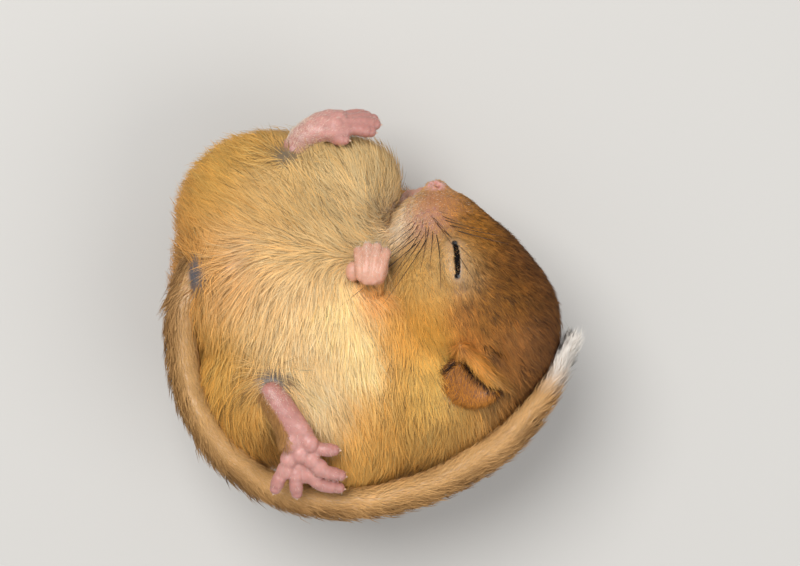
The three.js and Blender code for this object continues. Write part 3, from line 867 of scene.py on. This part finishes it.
def skin_colour(p):
    """Dark roots under the fur, the bare skin of feet, paws, ears, nose and tail, and painted shade in the ears'
    crevices and dimples.
    """
    colour = mixed(p, COAT_ZONES, TAN) * 0.75
    for place, reach, own, bare in PARTINGS:
        colour = lay(colour, own, bare * nearness(p, place, reach))
    muzzle = nearness(from_nose(p), (4.0, -1.8, 0), np.array([2.9, 3.2, 5]))
    colour = lay(colour, linear("#ad7658"), 0.9 * muzzle)
    for place, _ in WHISKER_ROOTS[1] + WHISKER_ROOTS[-1]:
        colour = lay(colour, linear("#7d5060"), 0.55 * nearness(p, place, 0.2))
    colour = lay(colour, TAIL_SKIN, smooth(-TAIL(p), -0.5, -0.1))
    for foot in FEET.values():
        colour = lay(colour, PINK, smooth(-foot(p), -0.45, -0.05))
    colour = lay(colour, linear("#a87444"), 0.8 * foot_edge(p))
    for paw in BARE_PAWS:
        colour = lay(colour, FIST, smooth(-paw(p), -0.45, -0.05))
    for pad in FOOT_LEFT["pads"] + FOOT_RIGHT["pads"]:
        colour = lay(colour, PAD, 0.7 * nearness(p, vec(*pad), 1.05))
    for shape in PINNAS.values():
        colour = lay(colour, EAR_SKIN, smooth(-shape(p), -0.4, -0.05))
    colour = lay(colour, NOSE_PINK, smooth(-NOSE(p), -0.5, -0.1))
    for line, _ in SLITS.values():
        far, _ = near_line(p, line)
        colour = lay(colour, linear("#a5835e"), 0.6 * np.exp(-(far**2) / (2 * 1.2**2)))
        colour = lay(colour, INK, 1 - smooth(far, 0.3, 0.5))
    # painted shade in the crevice under each ear's front fold
    for line in EAR_CREVICES.values():
        far, _ = near_line(p, spline(line, 24))
        colour = lay(colour, linear("#2c1a10"), 0.9 * (1 - smooth(far, 0.3, 0.8)))
    # painted shade in the carved dimples above the ears
    for place in EAR_DIMPLES.values():
        colour = lay(colour, linear("#3a2210"), 0.85 * nearness(p, place, 1.1))
    for side in (1, -1):
        far, _ = near_line(p, settle(MASS, [in_head(0.5, 0.6, side * 1.15), in_head(1.0, 0.8, side * 1.55)])[0])
        colour = lay(colour, linear("#8d4740"), 0.85 * (1 - smooth(far, 0.25, 0.55)))
    shade = 1 + 0.06 * ripples(p, 1.3, 3) + 0.05 * ripples(p, 0.5, 4)
    return np.clip(colour * shade[:, None], 0, 1)


paint(skin, skin_colour(skin_points))

# Lie of the coat: places and the ways the hair points there
LIE = [
    (in_head(2, 3, 1), BACK),
    (in_head(8, 6, 3), BACK + 0.12 * CROWN),
    (in_head(9, -3, 6), BACK - 0.25 * CROWN),
    (in_head(14, -5, 7), BACK - 0.2 * CROWN),
    (in_head(14, 8, 2), BACK + 0.2 * CROWN),
    (in_head(18, 4, 8), BACK + 0.25 * CROWN),
    (in_head(4, -5, 0), BACK - 0.3 * CROWN),
    (in_head(12, -4, -7), BACK - 0.25 * CROWN),
    (in_head(16, 5, -7), BACK),
    ((14.5, -5.5, 26), (0.69, -0.72, 0)),
    ((17, -7.5, 25), (0.69, -0.72, 0)),
    ((23, -3, 20), (0.62, -0.76, -0.1)),
    ((20, -12, 17), (0.0, -0.95, -0.25)),
    ((11, -14, 25), (-0.08, -1, -0.1)),
    ((4, -17, 24), (-0.25, -0.95, 0)),
    ((8, -21, 14), (-0.75, -0.5, -0.4)),
    ((7, -7, 28), (-0.25, -0.95, 0)),
    ((5, 1, 28), (-0.1, 0.95, 0)),
    ((0.5, -4, 27.5), (0.3, -0.95, 0)),
    ((-3, 1.5, 28), (0.15, -0.95, 0)),
    ((-1, -11, 27), (0.3, -0.9, 0)),
    ((-8, 2, 29), (-0.3, -0.93, 0)),
    ((-8.5, -5, 28.5), (0.1, -0.95, 0)),
    ((-15, 5, 27), (-0.5, -0.7, 0)),
    ((-18.5, -4, 22), (-0.15, -0.98, 0)),
    ((-14.5, -12, 23), (0.25, -0.95, 0)),
    ((-12.5, 16, 25), (-0.45, 0.75, -0.2)),
    ((-19, 12, 20), (-0.6, 0.3, -0.5)),
    ((-22, 9, 14), (-0.5, 0.2, -0.8)),
    ((-6, 16, 26), (-0.55, 0.6, 0)),
    ((-1, 14, 23), (-0.5, 0.75, 0)),
    ((2, 17, 18), (-0.3, 0.85, -0.3)),
    ((5, 12, 8), (-0.3, 0.9, 0.3)),
    ((16, -14, 5), (-0.8, -0.5, -0.2)),
    ((18, 4, 6), (0.3, -0.9, -0.3)),
    ((4, -8, 0), (-1, -0.1, 0)),
    ((-10, 0, 0), (-0.9, 0.3, 0)),
    ((-6, -22, 10), (-0.9, 0.1, -0.3)),
    ((-20, -12, 8), (-0.4, 0.8, -0.2)),
    ((-24, 2, 8), (-0.2, 0.9, 0.1)),
    ((-14, 22, 8), (-0.5, 0.6, -0.4)),
    ((0, 16, 6), (-0.6, 0.6, 0)),
]
LIE_REACH = 4.6


def lie_of(p, n):
    """Way of the coat along the skin at each point."""
    total = np.zeros_like(p)
    for place, way in LIE:
        far2 = ((p - np.asarray(place, float)) ** 2).sum(1)
        weight = np.exp(-far2 / (2 * LIE_REACH**2)) + 1e-4 / (1 + far2)
        total += unit(way) * weight[:, None]
    for place, reach, _, _ in PARTINGS[:3]:
        total = unit(total) + unit(p - place) * 2.2 * nearness(p, place, reach * 1.35)[:, None]
    return unit(flattened(total, n))


def scattered(points, faces, density, count):
    """Roots spread evenly by area and density: triangle of each, and its place in it."""
    a, b, c = (points[faces[:, k]] for k in range(3))
    area = np.linalg.norm(np.cross(b - a, c - a), axis=1) / 2 * density[faces].mean(1)
    run = np.cumsum(area)
    at = (np.arange(count) + rng.random(count)) / count * run[-1]
    index = np.minimum(np.searchsorted(run, at), len(faces) - 1)
    u, w = rng.random((2, count))
    flip = u + w > 1
    u, w = np.where(flip, 1 - u, u), np.where(flip, 1 - w, w)
    return index, np.stack([1 - u - w, u, w], 1)


RING = np.array([math.radians(k) for k in (90, 210, 330)])
BENT_FACES = np.array(
    [(0, 1, 2), (0, 4, 1), (0, 3, 4), (1, 5, 2), (1, 4, 5), (2, 3, 0), (2, 5, 3), (3, 6, 4), (4, 6, 5), (5, 6, 3)]
)
SHORT_FACES = np.array([(0, 1, 2), (0, 3, 1), (1, 3, 2), (2, 3, 0)])
SUNK = 0.2  # how far a root goes into the skin
SOFTNESS = (0.85, 0.6)  # how far a tuft of the body, and of the head, is shaded like the skin


def leaning(way, normal, angle):
    return way * np.cos(angle) + normal * np.sin(angle)


def tuft_mesh(hair, bent):
    """Points, colours, corner coordinates, faces and shading ways of closed three-sided tufts."""
    root, normal, way, pull = (hair[key] for key in ("root", "normal", "way", "pull"))
    length, width, rise, fall = (hair[key][:, None] for key in ("length", "width", "rise", "fall"))
    side = np.cross(way, normal)
    first = leaning(way, normal, np.radians(rise))
    second = leaning(way, normal, np.radians(fall))
    middle = root + first * length * 0.5
    tip = middle + second * length * 0.5 + pull
    rings = [(root - normal * SUNK, width * 0.5, first)]
    if bent:
        rings.append((middle + pull * 0.35, width * 0.42, unit(first + second)))
    layers, spokes = [], []
    for centre, radius, ahead in rings:
        across = np.cross(side, ahead)
        for angle in RING:
            spokes.append(side * math.cos(angle) + across * math.sin(angle))
            layers.append(centre + radius * spokes[-1])
    points = np.stack(layers + [tip], 1)
    points[..., 2] = np.maximum(points[..., 2], 0.02)
    steps = np.array([0] * 3 + [0.55] * 3 * bent + [1])[None, :, None]
    colours = hair["low"][:, None] * (1 - steps) + hair["high"][:, None] * steps
    patch = [(-1, -1), (0, -0.7), (1, -1)] + [(-1, 0), (0, 0.2), (1, 0)] * bent + [(0, 1)]
    uv = hair["uv"][:, None] + PATCH * np.array(patch)[None]
    share = np.interp(hair["soft"], [0, 1], SOFTNESS)[:, None, None]
    soft = unit(np.stack(spokes + [np.zeros_like(root)], 1) * (1 - share) + normal[:, None] * share)
    pattern = BENT_FACES if bent else SHORT_FACES
    faces = pattern[None] + (np.arange(len(points)) * points.shape[1])[:, None, None]
    return [values.reshape(-1, values.shape[-1]) for values in (points, colours, uv, faces, soft)]


def finished(made, material):
    """The piece with its finish, riding on the body."""
    made.data.materials.append(material)
    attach(made, "root")
    return made


def hair_object(name, hair, bent):
    points, colours, uv, faces, soft = tuft_mesh(hair, bent)
    made = new_object(name, points, faces)
    made.visible_shadow = "under" not in name  # light goes through the fine undercoat
    made.data.normals_split_custom_set_from_vertices(soft.astype(np.float32))
    paint(made, np.clip(colours, 0, 1))
    layer = made.data.uv_layers.new(name="OFBake")
    layer.data.foreach_set("uv", np.clip(uv[faces.ravel()], 0, 1).astype(np.float32).ravel())
    finished(made, FUR)


def picked(hair, keep):
    return {key: value[keep] for key, value in hair.items()}


# Materials


def principled(name, roughness, specular, **more):
    material = bpy.data.materials.new(name)
    material.use_nodes = True
    shader = material.node_tree.nodes["Principled BSDF"]
    shader.inputs["Roughness"].default_value = roughness
    shader.inputs["Specular IOR Level"].default_value = specular
    for key, value in more.items():
        shader.inputs[key.replace("_", " ")].default_value = value
    return material, material.node_tree, shader


def added(tree, kind, feeds, **values):
    """A shader node, with its values and what feeds its sockets."""
    node = tree.nodes.new(f"ShaderNode{kind}")
    for key, value in values.items():
        node.inputs[key.replace("_", " ")].default_value = value
    for key, output in feeds.items():
        tree.links.new(output, node.inputs[key])
    return node


def pattern_node(tree, kind, **values):
    """A noise or a cell pattern in the object's own space."""
    place = tree.nodes.new("ShaderNodeTexCoord")
    return added(tree, kind, {"Vector": place.outputs["Object"]}, **values)


def varied_pigment(tree, shader, scale, low, high):
    """The painted pigment, made a little lighter and darker by fine noise."""
    pigment = tree.nodes.new("ShaderNodeAttribute")
    pigment.attribute_name = "pigment"
    noise = pattern_node(tree, "TexNoise", Scale=scale, Detail=3)
    spread = added(tree, "MapRange", {"Value": noise.outputs["Fac"]}, To_Min=low, To_Max=high)
    times = tree.nodes.new("ShaderNodeVectorMath")
    times.operation = "SCALE"
    tree.links.new(pigment.outputs["Color"], times.inputs[0])
    tree.links.new(spread.outputs["Result"], times.inputs["Scale"])
    tree.links.new(times.outputs["Vector"], shader.inputs["Base Color"])


def bumped(tree, shader, source, strength, distance):
    bump = added(tree, "Bump", {"Height": source}, Strength=strength, Distance=distance)
    tree.links.new(bump.outputs["Normal"], shader.inputs["Normal"])


def skin_material():
    material, tree, shader = principled("living_skin", 0.4, 0.5, Subsurface_Weight=0.3, Subsurface_Scale=0.0009)
    shader.inputs["Subsurface Radius"].default_value = (1.0, 0.35, 0.2)
    varied_pigment(tree, shader, 900, 0.85, 1.12)
    bumped(tree, shader, pattern_node(tree, "TexVoronoi", Scale=3400).outputs["Distance"], 0.35, 0.00007)
    return material


def hair_material(name, roughness, scale):
    material, tree, shader = principled(name, roughness, 0.2)
    varied_pigment(tree, shader, scale, 0.9, 1.1)
    bumped(tree, shader, pattern_node(tree, "TexNoise", Scale=9000, Detail=3).outputs["Fac"], 0.2, 0.00003)
    return material


def plain_material(name, colour, roughness, specular, scale, **more):
    """One colour, broken up by noise."""
    material, tree, shader = principled(name, roughness, specular, **more)
    noise = pattern_node(tree, "TexNoise", Scale=scale, Detail=3)
    ramp = added(tree, "ValToRGB", {"Fac": noise.outputs["Fac"]})
    for element, share in zip(ramp.color_ramp.elements, (0.75, 1.2)):
        element.color = (*np.clip(linear(colour) * share, 0, 1), 1)
    tree.links.new(ramp.outputs["Color"], shader.inputs["Base Color"])
    bumped(tree, shader, noise.outputs["Fac"], 0.2, 0.00005)
    return material


SKIN = skin_material()
FUR = hair_material("fur", 0.55, 700)
finished(skin, SKIN)
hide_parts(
    "head", "neck", "trunk", "foreleg_left", "foreleg_right", "hindleg_left", "hindleg_right", "nose",
    "ear_left", "ear_right", "foot_left", "foot_right", "paw_left", "paw_right",
    "tail_base", "tail_middle", "tail_end", "tail_tuft",
)


# Coat


def make_hair(count, density):
    """Roots on the skin, with their places on its unwrap and the ways out."""
    index, share = scattered(skin_points, skin_faces, density, count)
    corners = skin_faces[index]
    root = (skin_points[corners] * share[..., None]).sum(1)
    uv = (skin_uv[index] * share[..., None]).sum(1)
    normal = unit((skin_normals[corners] * share[..., None]).sum(1))
    return root, uv, normal


skin_normals = unit(slope(skin_field, skin_points))
bare_far = BARE(skin_points)
nose_far = NOSE(skin_points)
on_tail = smooth(-TAIL(skin_points), -0.9, -0.2)
head_share = part_weights(skin_points)[FUR_PARTS.index("head")]
by_nose = from_nose(skin_points)
cover = smooth(bare_far, 0.02, 0.4) * smooth(nose_far, -0.3, 0.3)
cover *= smooth(slit_distance(skin_points), 0.4, 0.7)
parted = [bare * nearness(skin_points, place, reach * 0.75) for place, reach, _, bare in PARTINGS]
cover *= 1 - np.max(parted, axis=0)
cover *= 1 - 0.75 * nearness(by_nose, (5.3, -2.5, 0), np.array([2.2, 1.9, 9]))
body_density = cover * (1 - 0.9 * smooth(head_share, 0.5, 0.95)) * (1 - on_tail)
face_density = cover * smooth(head_share, 0.35, 0.9) * (1 - on_tail)
tail_density = cover * on_tail

HAIR_LENGTHS = np.array([length for _, _, length, _ in FURRED.values()])
HAIR_RISES = np.array([rise for _, _, _, rise in FURRED.values()])
# Places with more dark hair, and their reach
SPECKLED = [
    (vec(-4, 16, 25), 5.5), (vec(-16, -11, 22), 4), (vec(4, -6, 28), 2.5), (vec(6, -13, 26), 4.5),
    (vec(20, 5, 25), 5.5),
]
BRIGHTER = 1.42  # makes up for the shade that tufts cast on each other


def hair_colours(p, count, lock):
    """Dark grey-brown roots and golden tips, each lock and each tuft a little different."""
    high = mixed(p, COAT_ZONES, TAN) * BRIGHTER
    grain = np.interp(high.mean(1), [0.08, 0.35], [0.36, 0.07])  # dark fur is the more mixed
    value = 1 + grain * (0.8 * rng.normal(size=count) + 1.2 * lock) + 0.05 * ripples(p, 2.4, 21)
    warm = 0.07 * rng.normal(size=count)
    tint = np.stack([1 + warm, np.ones(count), 1 - 1.5 * warm], 1)
    high = high * np.clip(value, 0.3, 1.8)[:, None] * tint
    low = lay(high * 0.85, SLATE, np.full(count, 0.06))
    chance = np.full(count, 0.015)
    for place, reach in SPECKLED:
        chance += 0.16 * nearness(p, place, reach)
    chance *= 1 + 1.2 * np.maximum(ripples(p, 1.6, 31), -0.8)
    for place, reach, _, _ in PARTINGS[:3]:
        chance += 0.36 * nearness(p, place, 0.8 * reach)
    dark = (rng.random(count) < chance).astype(float)
    high = lay(high, linear("#2b1f18"), 0.8 * dark)
    low = lay(low, linear("#1d1714"), 0.3 * dark)
    return low, high


def clumped(root, tip_shift, clumps, pull):
    """How far each tip is drawn to the tip of its nearest clump, and which clump that is."""
    count = len(root)
    heads = rng.permutation(count)[: int(count * clumps)]
    tree = kdtree.KDTree(len(heads))
    for k, h in enumerate(heads):
        tree.insert(root[h], k)
    tree.balance()
    nearest = heads[np.array([tree.find(r)[1] for r in root])]
    return ((root + tip_shift)[nearest] - root - tip_shift) * pull, nearest


def tail_lie(root, normal):
    """Way, length and steepness of the tail's hair, which is longest on its outer side and at its end."""
    at = near_line(root, TAIL_LINE)[1]
    share = tail_share[at]
    out = unit(root - TAIL_LINE[at])[:, :2]
    fringe = np.clip((out * unit(TAIL_LINE[at][:, :2] - (0.0, -1.0))).sum(1), 0, 1)
    end = smooth(share, 0.84, 0.96)
    length = 1.5 + 1.2 * fringe * (1 - 0.5 * end) + 1.3 * end * (1 - 0.4 * smooth(share, 0.94, 1))
    rise = (24 + 8 * fringe) * (1 - 0.4 * end)
    return unit(flattened(TAIL_WAYS[at], normal)), length, rise, share, fringe


def tail_colours(high, share, fringe):
    """Tan along the middle, browner in the fringe, white at the end."""
    brown = np.minimum(0.15 + 0.85 * rng.random(len(high)), 1) * fringe
    high = lay(high * 0.2 + linear("#d8a96f") * 0.8, linear("#7d5127"), brown)
    high *= (0.78 + 0.4 * share)[:, None]
    white = smooth(share, 0.9, 0.96)
    return lay(high * 0.6, linear("#b8a898"), white), lay(high, linear("#efe9e0"), white)


def grown_hair(count, density, scale, width, clumps, pull_share, tail=False):
    """Tufts of the coat: their places, ways, sizes and colours."""
    root, uv, normal = make_hair(count, density)
    weights = part_weights(root)
    head = weights[FUR_PARTS.index("head")]
    face = 0.3 + 0.7 * smooth(from_nose(root)[:, 0], 1.5, 14)
    length = (HAIR_LENGTHS @ weights) * (1 - head + head * face)
    rise = HAIR_RISES @ weights
    way = lie_of(root, normal)
    if tail:
        way, length, rise, share, fringe = tail_lie(root, normal)
    length = length * (0.35 + 0.65 * smooth(BARE(root), 0.0, 1.4))
    length = length * (0.35 + 0.65 * smooth(slit_distance(root), 0.5, 2.6)) * scale
    length *= np.clip(1 + 0.18 * rng.normal(size=count), 0.5, 1.5)
    swing = 0.24 * rng.normal(size=count) + 0.3 * ripples(root, 5.0, 41)
    way = unit(way + np.cross(way, normal) * swing[:, None])
    rise = rise + 6 * rng.normal(size=count) + 5 * ripples(root, 3.0, 51)
    fall = rise * 0.3 + 5 * rng.normal(size=count) - 2
    halves = [leaning(way, normal, np.radians(angle)[:, None]) for angle in (rise, fall)]
    shift = sum(halves) / 2 * length[:, None]
    pull, nearest = clumped(root, shift, clumps, pull_share)
    low, high = hair_colours(root, count, rng.normal(size=count)[nearest])
    if tail:
        low, high = tail_colours(high, share, fringe)
    return {
        "root": root, "uv": uv, "normal": normal, "way": way, "length": length, "rise": rise, "fall": fall,
        "width": width * np.clip(1 + 0.2 * rng.normal(size=count), 0.6, 1.5), "pull": pull,
        "low": low, "high": high, "soft": head,
    }


def split_up(prefix, hair, bent, most):
    """Pieces small enough, cut along the body's length."""
    order = np.argsort(hair["root"][:, 0], kind="stable")
    pieces = max(1, math.ceil(len(order) / most))
    for k, part in enumerate(np.array_split(order, pieces)):
        name = prefix if pieces == 1 else f"{prefix}_{k + 1}"
        hair_object(name, picked(hair, part), bent)


def fuzz(name, count, density, length, width, rise, lie, colours):
    """Short sparse hair over bare skin, in a pale and a dark colour."""
    root, uv, normal = make_hair(count, density)
    way = flattened(lie(root), normal) + 0.25 * rng.normal(size=root.shape)
    way = unit(flattened(way, normal))
    high = lay(linear(colours[0]), linear(colours[1]), rng.random(count) ** 1.5)
    hair = {
        "root": root, "uv": uv, "normal": normal, "way": way, "low": high * 0.7, "high": high,
        "length": length * np.clip(1 + 0.25 * rng.normal(size=count), 0.5, 1.6),
        "rise": rise + 9 * rng.normal(size=count), "fall": np.full(count, rise * 0.4),
        "width": np.full(count, width), "pull": np.zeros((count, 3)), "soft": np.ones(count),
    }
    hair_object(name, hair, False)


def lie_on_ears(p):
    """From the front fold towards the tip, and out to the rim."""
    total = np.zeros_like(p)
    for middle, axes in EAR_FRAMES.values():
        total += nearness(p, middle, 4)[:, None] * (axes[1] + 0.16 * (p - middle))
    return unit(total)


def lie_on_feet(p):
    total = np.zeros_like(p)
    lines = [(foot["sole"][0], foot["sole"][-1]) for foot in (FOOT_LEFT, FOOT_RIGHT)]
    lines += [(paw["wrist"], paw["knuckles"]) for paw in (PAW_LEFT, PAW_RIGHT)]
    for start, end in lines:
        start, end = vec(*start), vec(*end)
        total += nearness(p, (start + end) / 2, 5.48)[:, None] * unit(end - start)
    return unit(total)


def lie_on_snout(p):
    return np.broadcast_to(BACK, p.shape)


share_of_all = 1.0
# Layers of the body's coat: tufts, length, width, bent or not, and the most tufts in one piece
for prefix, count, scale, width, bent, most in (
    ("under", 141000, 0.9, 0.088, False, SHORT_MOST),
    ("over", 40000, 1.08, 0.088, True, BENT_MOST),
):
    hair = grown_hair(int(count * share_of_all), body_density, scale, width, 0.06, 0.12)
    belly = hair["root"][:, 2] > 15
    belly &= part_weights(hair["root"])[FUR_PARTS.index("trunk")] > 0.5
    split_up(f"belly_{prefix}_fur", picked(hair, belly), bent, most)
    split_up(f"back_{prefix}_fur", picked(hair, ~belly), bent, most)
face_hair = grown_hair(int(62000 * share_of_all), face_density, 1.0, 0.1, 0.12, 0.2)
split_up("face_fur", face_hair, False, SHORT_MOST)
tail_hair = grown_hair(int(8000 * share_of_all), tail_density, 1.0, 0.12, 0.08, 0.15, tail=True)
split_up("tail_over_fur", tail_hair, True, BENT_MOST)
tail_hair = grown_hair(int(32000 * share_of_all), tail_density, 0.85, 0.09, 0.08, 0.1, tail=True)
split_up("tail_under_fur", tail_hair, False, SHORT_MOST)
ear_far = np.min([shape(skin_points) for shape in PINNAS.values()], axis=0)
crevice_far = np.min([near_line(skin_points, spline(line, 20))[0] for line in EAR_CREVICES.values()], axis=0)
ear_density = smooth(-ear_far, -0.35, -0.1)
fuzz("ear_fur", 11000, ear_density, 0.85, 0.1, 24, lie_on_ears, ("#dc9038", "#7d4a22"))
# dark hair along the ear crevices: painted shade under each ear's front fold
crevice_shade_density = smooth(-crevice_far, -0.75, -0.35)
fuzz("ear_crevice_shade_fur", 1400, crevice_shade_density, 1.2, 0.1, 50, lie_on_ears, ("#3a2214", "#1c100a"))
heel = nearness(skin_points, (-9.0, 22.2, 21), 2.45) + 0.5 * nearness(skin_points, (-11.9, -9.6, 26), 1.225)
heel += 0.3 * nearness(skin_points, (0.9, 8.2, 28), 1.414)  # and the knuckles
foot_density = smooth(-bare_far, -0.3, 0.0) * (0.015 + heel) * (1 - smooth(-ear_far, -1.0, -0.5))
fuzz("foot_fur", 5200, foot_density, 0.6, 0.045, 24, lie_on_feet, ("#f0e2d2", "#e0b795"))
snout = nearness(by_nose, (1.2, -1.4, 0), np.array([2.4, 2.6, 4]))
snout *= smooth(nose_far, -0.25, 0.1) * (0.2 + smooth(-by_nose[:, 1], 0.5, 2.5))
fuzz("muzzle_fuzz", 2200, snout, 0.75, 0.05, 34, lie_on_snout, ("#f2e4d2", "#dcb592"))
edge = foot_edge(skin_points)
fuzz("foot_edge_fur", 2200, edge, 1.1, 0.07, 38, lie_on_feet, ("#d0985a", "#94683c"))


# Thin curved things: whiskers, lashes and claws


def tubes(name, lines, radii, material, sides=5):
    """Closed tapered tubes along lines, joined in one object."""
    points, faces = [], []
    s = np.arange(sides)
    t = (s + 1) % sides
    turns = 2 * math.pi * s / sides
    spokes = np.stack([np.cos(turns), np.sin(turns)], 1)
    fan = np.stack([np.zeros(sides - 2, int), s[1:-1], s[2:]], 1)
    for line, radius in zip(lines, radii):
        start = len(points) * sides
        ways = tangents(line)
        side = unit(np.cross(ways, vec(0.13, 0.21, 0.97)))
        rings = spokes @ np.stack([side, np.cross(side, ways)], 1)
        points += list(line[:, None] + rings * radius[:, None, None])
        for ring in range(len(line) - 1):
            a, b = start + ring * sides + s, start + ring * sides + t
            faces += [np.stack([a, a + sides, b], 1), np.stack([b, a + sides, b + sides], 1)]
        faces += [start + fan, start + (len(line) - 1) * sides + fan[:, ::-1]]
    return finished(new_object(name, np.vstack(points), np.vstack(faces)), material)


def whisker_lines(side):
    """Whiskers from the rows of roots, the rear ones the longest, fanning out and bending back."""
    lines = []
    for (row, column), (place, out) in zip(WHISKER_GRID, WHISKER_ROOTS[side]):
        fan = (-1.8, -0.85, -0.3, 0.1, 0.6)[row]
        way = unit(BACK * 0.8 + CROWN * fan * 0.6 + out * 0.62 + 0.06 * rng.normal(size=3))
        reach = (2.8 + 1.9 * column) * rng.uniform(0.75, 1.15) * (0.75 if row == 4 else 1)
        t = np.linspace(0, 1, 11)[:, None]
        bend = BACK * 0.1 + CROWN * fan * 0.8 - out * 0.26
        lines.append(place - out * 0.2 + (way * t + bend * 0.6 * t**2) * reach)
    return lines


def lash_lines(line, out, axes):
    lines = []
    share = np.linspace(0, 1, len(line))
    for k in np.linspace(0.02, 0.98, 48):
        at, lift = (vec(*[np.interp(k, share, values[:, a]) for a in range(3)]) for values in (line, out))
        lean = axes[1] * rng.choice([-1, 1])
        start = at + lean * 0.24 - lift * 0.1
        way = unit(lift * 0.5 - lean * rng.uniform(0.1, 0.8) + axes[0] * rng.uniform(0.2, 0.9))
        t = np.linspace(0, 1, 4)[:, None]
        lines.append(start + way * t * rng.uniform(0.45, 0.8))
    return lines


def claw_lines():
    """Short claws, bent down, from the ends of toes and fingers."""
    ends = [(vec(*points[-2]), vec(*points[-1]), 0.5) for points in FOOT_LEFT["toes"] + FOOT_RIGHT["toes"]]
    ends += [(line[-2], line[-1], 0.3) for paw in (PAW_LEFT, PAW_RIGHT) for line in finger_lines(paw)]
    t = np.linspace(0, 1, 5)[:, None]
    drop = vec(0, 0, 0.3) * t**2
    return [end + unit(end - before) * (ahead + 0.5 * t) - drop for before, end, ahead in ends]


HAIR_BLACK = plain_material("whisker", "#1c110d", 0.4, 0.5, 1500)
HORN = plain_material("claw", "#d9b9a2", 0.35, 0.5, 1200)
WET = plain_material("eyeball", "#0b0808", 0.12, 0.6, 800, Coat_Weight=0.6)
LID = plain_material("lid_rim", "#140e0c", 0.8, 0.1, 1800)

whiskers = whisker_lines(1) + whisker_lines(-1)
taper = np.linspace(1, 0.25, 11)
thickness = [0.04 + 0.007 * column for _, column in WHISKER_GRID] * 2
tubes("whiskers", whiskers, [k * taper for k in thickness], HAIR_BLACK)
claws = claw_lines()
tubes("claws", claws, [np.array([0.24, 0.22, 0.17, 0.1, 0.03])] * len(claws), HORN, 7)


def globe(name, centre, radius, material, replaced):
    """A round eyeball."""
    ball_mesh = bmesh.new()
    bmesh.ops.create_uvsphere(ball_mesh, u_segments=32, v_segments=24, radius=radius)
    bmesh.ops.triangulate(ball_mesh, faces=ball_mesh.faces)
    points = [centre + np.array(v.co) for v in ball_mesh.verts]
    faces = [[v.index for v in face.verts] for face in ball_mesh.faces]
    made = finished(new_object(name, points, faces), material)
    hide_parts(replaced)


for name, (place, axes) in EYES.items():
    line, out = SLITS[name]
    middle = line[len(line) // 2] - out[len(line) // 2] * 3.0
    globe(f"{name}_ball", middle, 2.35, WET, name)
    lashes = lash_lines(line, out, axes)
    tubes(f"{name}_lashes", lashes, [np.array([0.07, 0.065, 0.05, 0.02])] * len(lashes), LID, 4)


# Stage


def make_floor():
    half = 1500
    points = [(-half, -half, 0), (half, -half, 0), (half, half, 0), (-half, half, 0)]
    made = new_object("floor", points, [(0, 1, 2), (0, 2, 3)], smoothly=False)
    material, _, shader = principled("pale_floor", 0.8, 0.3)
    shader.inputs["Base Color"].default_value = (0.47, 0.455, 0.43, 1)
    made.data.materials.append(material)


def make_light(name, place, size, power):
    data = bpy.data.lights.new(name, "AREA")
    data.shape = "DISK"
    data.size = size
    data.energy = power
    made = placed(name, data)
    made.location = place
    made.rotation_euler = (-Vector(place)).to_track_quat("-Z", "Y").to_euler()


def make_camera():
    data = bpy.data.cameras.new("camera")
    data.lens = CAMERA_LENS
    data.sensor_width = 36
    data.clip_start = 0.01
    made = placed("camera", data)
    made.location = [k * MM for k in CAMERA_PLACE]
    bpy.context.scene.camera = made


make_floor()
make_light("key", (-0.12, 0.16, 0.42), 0.3, 2.0)
make_light("fill", (0.3, -0.2, 0.35), 0.4, 1.0)
make_camera()
world = bpy.data.worlds.new("studio")
world.use_nodes = True
world.node_tree.nodes["Background"].inputs["Color"].default_value = (0.95, 0.97, 1.0, 1)
world.node_tree.nodes["Background"].inputs["Strength"].default_value = 0.61
bpy.context.scene.world = world
bpy.context.scene.view_settings.view_transform = "Standard"
